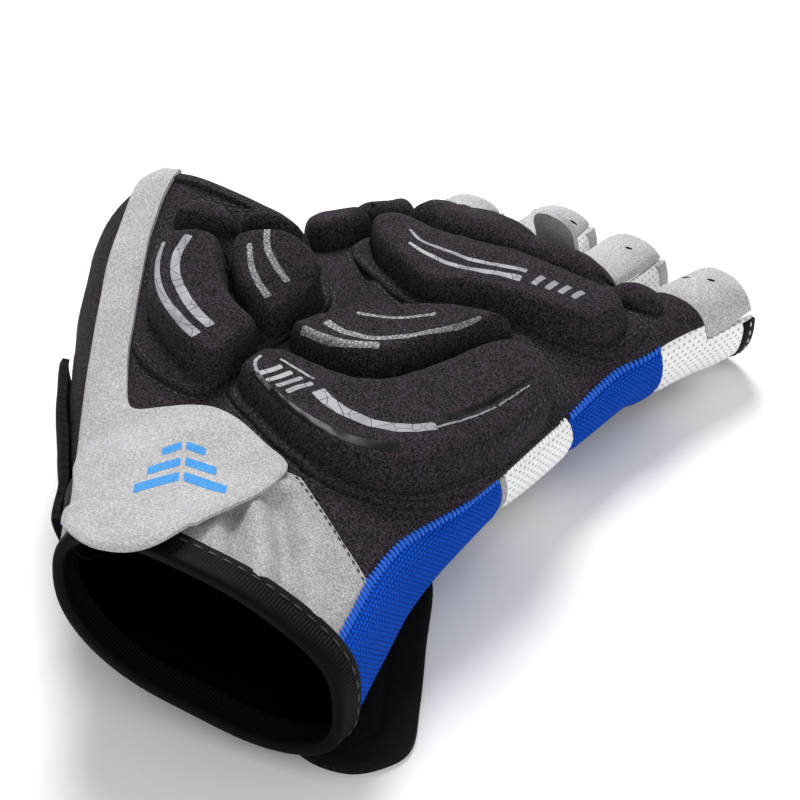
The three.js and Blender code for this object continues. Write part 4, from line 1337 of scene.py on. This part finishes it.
def node(tree, kind, values=None, links=None, **settings):
    """A node with its settings, its plain socket values and what feeds it."""
    made = tree.nodes.new(kind)
    for key, value in settings.items():
        setattr(made, key, value)
    for key, value in (values or {}).items():
        made.inputs[key].default_value = value
    for key, source in (links or {}).items():
        tree.links.new(source, made.inputs[key])
    return made


def mathed(tree, operation, first, second=0.0):
    made = tree.nodes.new("ShaderNodeMath")
    made.operation = operation
    for k, value in enumerate((first, second)):
        if isinstance(value, (int, float)):
            made.inputs[k].default_value = value
        else:
            tree.links.new(value, made.inputs[k])
    return made.outputs[0]


def mixed(tree, share, first, second):
    made = tree.nodes.new("ShaderNodeMix")
    made.data_type = "RGBA"
    for key, value in ((0, share), (6, first), (7, second)):
        if isinstance(value, (float, tuple)):
            made.inputs[key].default_value = value
        else:
            tree.links.new(value, made.inputs[key])
    return made.outputs[2]


# %% Suede grain, cloth pattern and cracks
def suede_grain():
    tree, given, out = group_of("suede grain", [
        ("Dark", "Color", (0, 0, 0, 1)), ("Light", "Color", (1, 1, 1, 1)), ("Grain Size", "Float", 0.5),
        ("Patchiness", "Float", 0.3),
    ], [("Color", "Color"), ("Height", "Float")])
    place = tree.nodes.new("ShaderNodeTexCoord").outputs["Object"]
    scale = mathed(tree, "DIVIDE", 1000.0, given.outputs["Grain Size"])
    fine = node(tree, "ShaderNodeTexNoise", {"Detail": 2.5, "Roughness": 0.8},
        {"Vector": place, "Scale": scale})
    slow = node(tree, "ShaderNodeTexNoise", {"Scale": 110.0, "Detail": 3.0}, {"Vector": place})
    grain = node(tree, "ShaderNodeMapRange", {"From Min": 0.40, "From Max": 0.70},
        {"Value": fine.outputs["Fac"]})
    patch = mathed(tree, "MULTIPLY", mathed(tree, "SUBTRACT", slow.outputs["Fac"], 0.5),
        given.outputs["Patchiness"])
    share = mathed(tree, "ADD", grain.outputs[0], mathed(tree, "MULTIPLY", patch, 2.0))
    share = node(tree, "ShaderNodeClamp", {}, {"Value": share}).outputs[0]
    tree.links.new(mixed(tree, share, given.outputs["Dark"], given.outputs["Light"]), out.inputs["Color"])
    tree.links.new(fine.outputs["Fac"], out.inputs["Height"])
    return tree


def cloth_rows():
    """Offset rows of cells: 0 at a cell's middle, rising to its edge."""
    tree, given, out = group_of("cloth rows", [
        ("Along", "Float", 2.0), ("Across", "Float", 2.0), ("Edge", "Float", 0.3),
        ("Softness", "Float", 0.2),
    ], [("Mask", "Float"), ("Height", "Float")])
    flat = node(tree, "ShaderNodeUVMap", uv_map="cloth").outputs[0]
    split = node(tree, "ShaderNodeSeparateXYZ", {}, {"Vector": flat})
    u = mathed(tree, "DIVIDE", split.outputs[0], given.outputs["Along"])
    v = mathed(tree, "DIVIDE", split.outputs[1], given.outputs["Across"])
    odd = mathed(tree, "MULTIPLY", mathed(tree, "FLOORED_MODULO", mathed(tree, "FLOOR", v), 2.0), 0.5)
    du = mathed(tree, "SUBTRACT", mathed(tree, "FRACT", mathed(tree, "ADD", u, odd)), 0.5)
    dv = mathed(tree, "SUBTRACT", mathed(tree, "FRACT", v), 0.5)
    reach = mathed(tree, "SQRT", mathed(tree, "ADD", mathed(tree, "MULTIPLY", du, du),
        mathed(tree, "MULTIPLY", dv, dv)))
    edge = mathed(tree, "ADD", given.outputs["Edge"], given.outputs["Softness"])
    mask = node(tree, "ShaderNodeMapRange", {}, {
        "Value": reach, "From Min": given.outputs["Edge"], "From Max": edge})
    tree.links.new(mask.outputs[0], out.inputs["Mask"])
    tree.links.new(reach, out.inputs["Height"])
    return tree


def cracks():
    tree, given, out = group_of("cracks", [("Size", "Float", 1.2), ("Width", "Float", 0.1)],
        [("Mask", "Float")])
    place = tree.nodes.new("ShaderNodeTexCoord").outputs["Object"]
    scale = mathed(tree, "DIVIDE", 1000.0, given.outputs["Size"])
    cells = node(tree, "ShaderNodeTexVoronoi", {}, {"Vector": place, "Scale": scale},
        feature="DISTANCE_TO_EDGE")
    mask = node(tree, "ShaderNodeMapRange", {"From Min": 0.0}, {
        "Value": cells.outputs["Distance"], "From Max": given.outputs["Width"]})
    tree.links.new(mask.outputs[0], out.inputs["Mask"])
    return tree


SUEDE_GRAIN, CLOTH_ROWS, CRACKS = suede_grain(), cloth_rows(), cracks()


def placed(tree, group, **values):
    made = tree.nodes.new("ShaderNodeGroup")
    made.node_tree = group
    for key, value in values.items():
        made.inputs[key.replace("_", " ")].default_value = value
    return made


def bumped(tree, shader, height, distance, strength=1.0):
    bump = node(tree, "ShaderNodeBump", {"Distance": distance * MILLIMETRE, "Strength": strength},
        {"Height": height})
    tree.links.new(bump.outputs[0], shader.inputs["Normal"])


def finish(name, roughness, specular=0.3, sheen=0.0):
    material = plain(name, (0.5, 0.5, 0.5), roughness)
    shader = material.node_tree.nodes["Principled BSDF"]
    shader.inputs["Specular IOR Level"].default_value = specular
    shader.inputs["Sheen Weight"].default_value = sheen
    shader.inputs["Sheen Roughness"].default_value = 0.4
    return material, material.node_tree, shader


def suede(name, dark, light, size, patchiness, depth, sheen=0.0):
    material, tree, shader = finish(name, 0.95, 0.15, sheen)
    grain = placed(tree, SUEDE_GRAIN, Dark=(*dark, 1), Light=(*light, 1), Grain_Size=size,
        Patchiness=patchiness)
    tree.links.new(grain.outputs["Color"], shader.inputs["Base Color"])
    bumped(tree, shader, grain.outputs["Height"], depth)
    return material


def knit(name, dark, light, along, across, edge, softness, depth, roughness=0.7, sheen=0.0, dirt=0.0):
    """Cloth in rows: dark in the middle of each cell, light round it, or the other way about."""
    material, tree, shader = finish(name, roughness, 0.08, sheen)
    rows = placed(tree, CLOTH_ROWS, Along=along, Across=across, Edge=edge, Softness=softness)
    grain = placed(tree, SUEDE_GRAIN, Dark=(1 - dirt, 1 - dirt, 1 - dirt, 1), Light=(1, 1, 1, 1),
        Grain_Size=0.5, Patchiness=0.4)
    colour = mixed(tree, rows.outputs["Mask"], (*dark, 1), (*light, 1))
    made = tree.nodes.new("ShaderNodeMix")
    made.data_type, made.blend_type = "RGBA", "MULTIPLY"
    made.inputs[0].default_value = 1.0
    tree.links.new(colour, made.inputs[6])
    tree.links.new(grain.outputs["Color"], made.inputs[7])
    tree.links.new(made.outputs[2], shader.inputs["Base Color"])
    bumped(tree, shader, rows.outputs["Mask"], depth)
    return material


def print_finish(name, colour, size, width, roughness=0.4):
    material, tree, shader = finish(name, roughness, 0.5)
    crack = placed(tree, CRACKS, Size=size, Width=width)
    tree.links.new(mixed(tree, crack.outputs[0], (0.02, 0.018, 0.02, 1), (*colour, 1)),
        shader.inputs["Base Color"])
    bumped(tree, shader, crack.outputs[0], 0.08)
    return material


# %% Finishes
BLACK_DARK, BLACK_LIGHT = (0.0008, 0.0005, 0.0008), (0.062, 0.049, 0.064)
finishes = {
    "black_suede": suede("black_suede", BLACK_DARK, BLACK_LIGHT, 0.5, 0.1, 0.12, 0.0),
    "grey_suede": suede("grey_suede", (0.30, 0.30, 0.305), (0.60, 0.595, 0.61), 0.5, 0.25, 0.12),
    # The wrist gore's suede is a darker copy of the grey suede: painted shade over the gore and its creases.
    # Its stronger patchiness is random tone.
    "gore_suede": suede("gore_suede", (0.24, 0.235, 0.24), (0.54, 0.53, 0.545), 0.5, 0.35, 0.12),
    "dark_knit": knit("dark_knit", (0.004, 0.006, 0.008), (0.035, 0.05, 0.062), 0.9, 0.9, 0.12, 0.3, 0.12),
    "white_mesh": knit("white_mesh", (0.52, 0.53, 0.55), (0.88, 0.88, 0.885), 1.9, 1.3, 0.10, 0.16, 0.25,
        0.8, dirt=0.12),
    "blue_mesh": knit("blue_mesh", (0.002, 0.088, 0.62), (0.0005, 0.03, 0.27), 1.3, 0.85, 0.30, 0.25,
        -0.25, 0.9, dirt=0.2),
    "ribbed_tape": knit("ribbed_tape", (0.006, 0.006, 0.007), (0.001, 0.001, 0.001), 0.75, 14.0, 0.22,
        0.2, -0.16, 0.6),
    "strap": knit("strap", (0.010, 0.010, 0.011), (0.003, 0.003, 0.003), 0.6, 0.5, 0.28, 0.2, -0.08, 0.8),
    "piping": suede("piping", (0.24, 0.25, 0.26), (0.42, 0.43, 0.45), 0.6, 0.2, 0.05),
    "silver_print": print_finish("silver_print", (0.22, 0.21, 0.235), 4.2, 0.02, 0.5),
    "cracked_print": print_finish("cracked_print", (0.24, 0.23, 0.255), 1.0, 0.16, 0.5),
    "gloss_print": plain("gloss_print", (0.002, 0.002, 0.003), 0.34),
    "motif_print": suede("motif_print", (0.04, 0.22, 0.56), (0.10, 0.36, 0.74), 0.42, 0.3, 0.06),
    "dark_stitches": plain("dark_stitches", (0.006, 0.005, 0.007), 0.6),
    "light_stitches": plain("light_stitches", (0.5, 0.5, 0.5), 0.7),
    "tape_stitches": plain("tape_stitches", (0.02, 0.02, 0.022), 0.6),
    "blue_loops": plain("blue_loops", (0.004, 0.11, 0.62), 0.8),
    "white_loops": plain("white_loops", (0.86, 0.86, 0.87), 0.8),
    "lining": plain("lining", (0.0015, 0.0015, 0.0015), 0.95),
}
for name, specular in (("lining", 0.0), ("gloss_print", 0.12)):
    shader = finishes[name].node_tree.nodes["Principled BSDF"]
    shader.inputs["Specular IOR Level"].default_value = specular
SLOTS = {part["node"]: part["material_slot"] for part in frame["record"]["subparts"]}
# The vent slits wear the lining finish as painted shade of their openings.
LOOKS = dict(SLOTS, thumb_hem="black_suede", face_slits="lining", wrist_gore="gore_suede")
for name in ("index", "middle", "ring"):
    LOOKS["finger_binding_" + name] = "grey_suede"
for name, piece in pieces.items():
    piece.data.materials.append(finishes[LOOKS.get(name, name)])
    piece.data.materials.append(finishes["lining"])
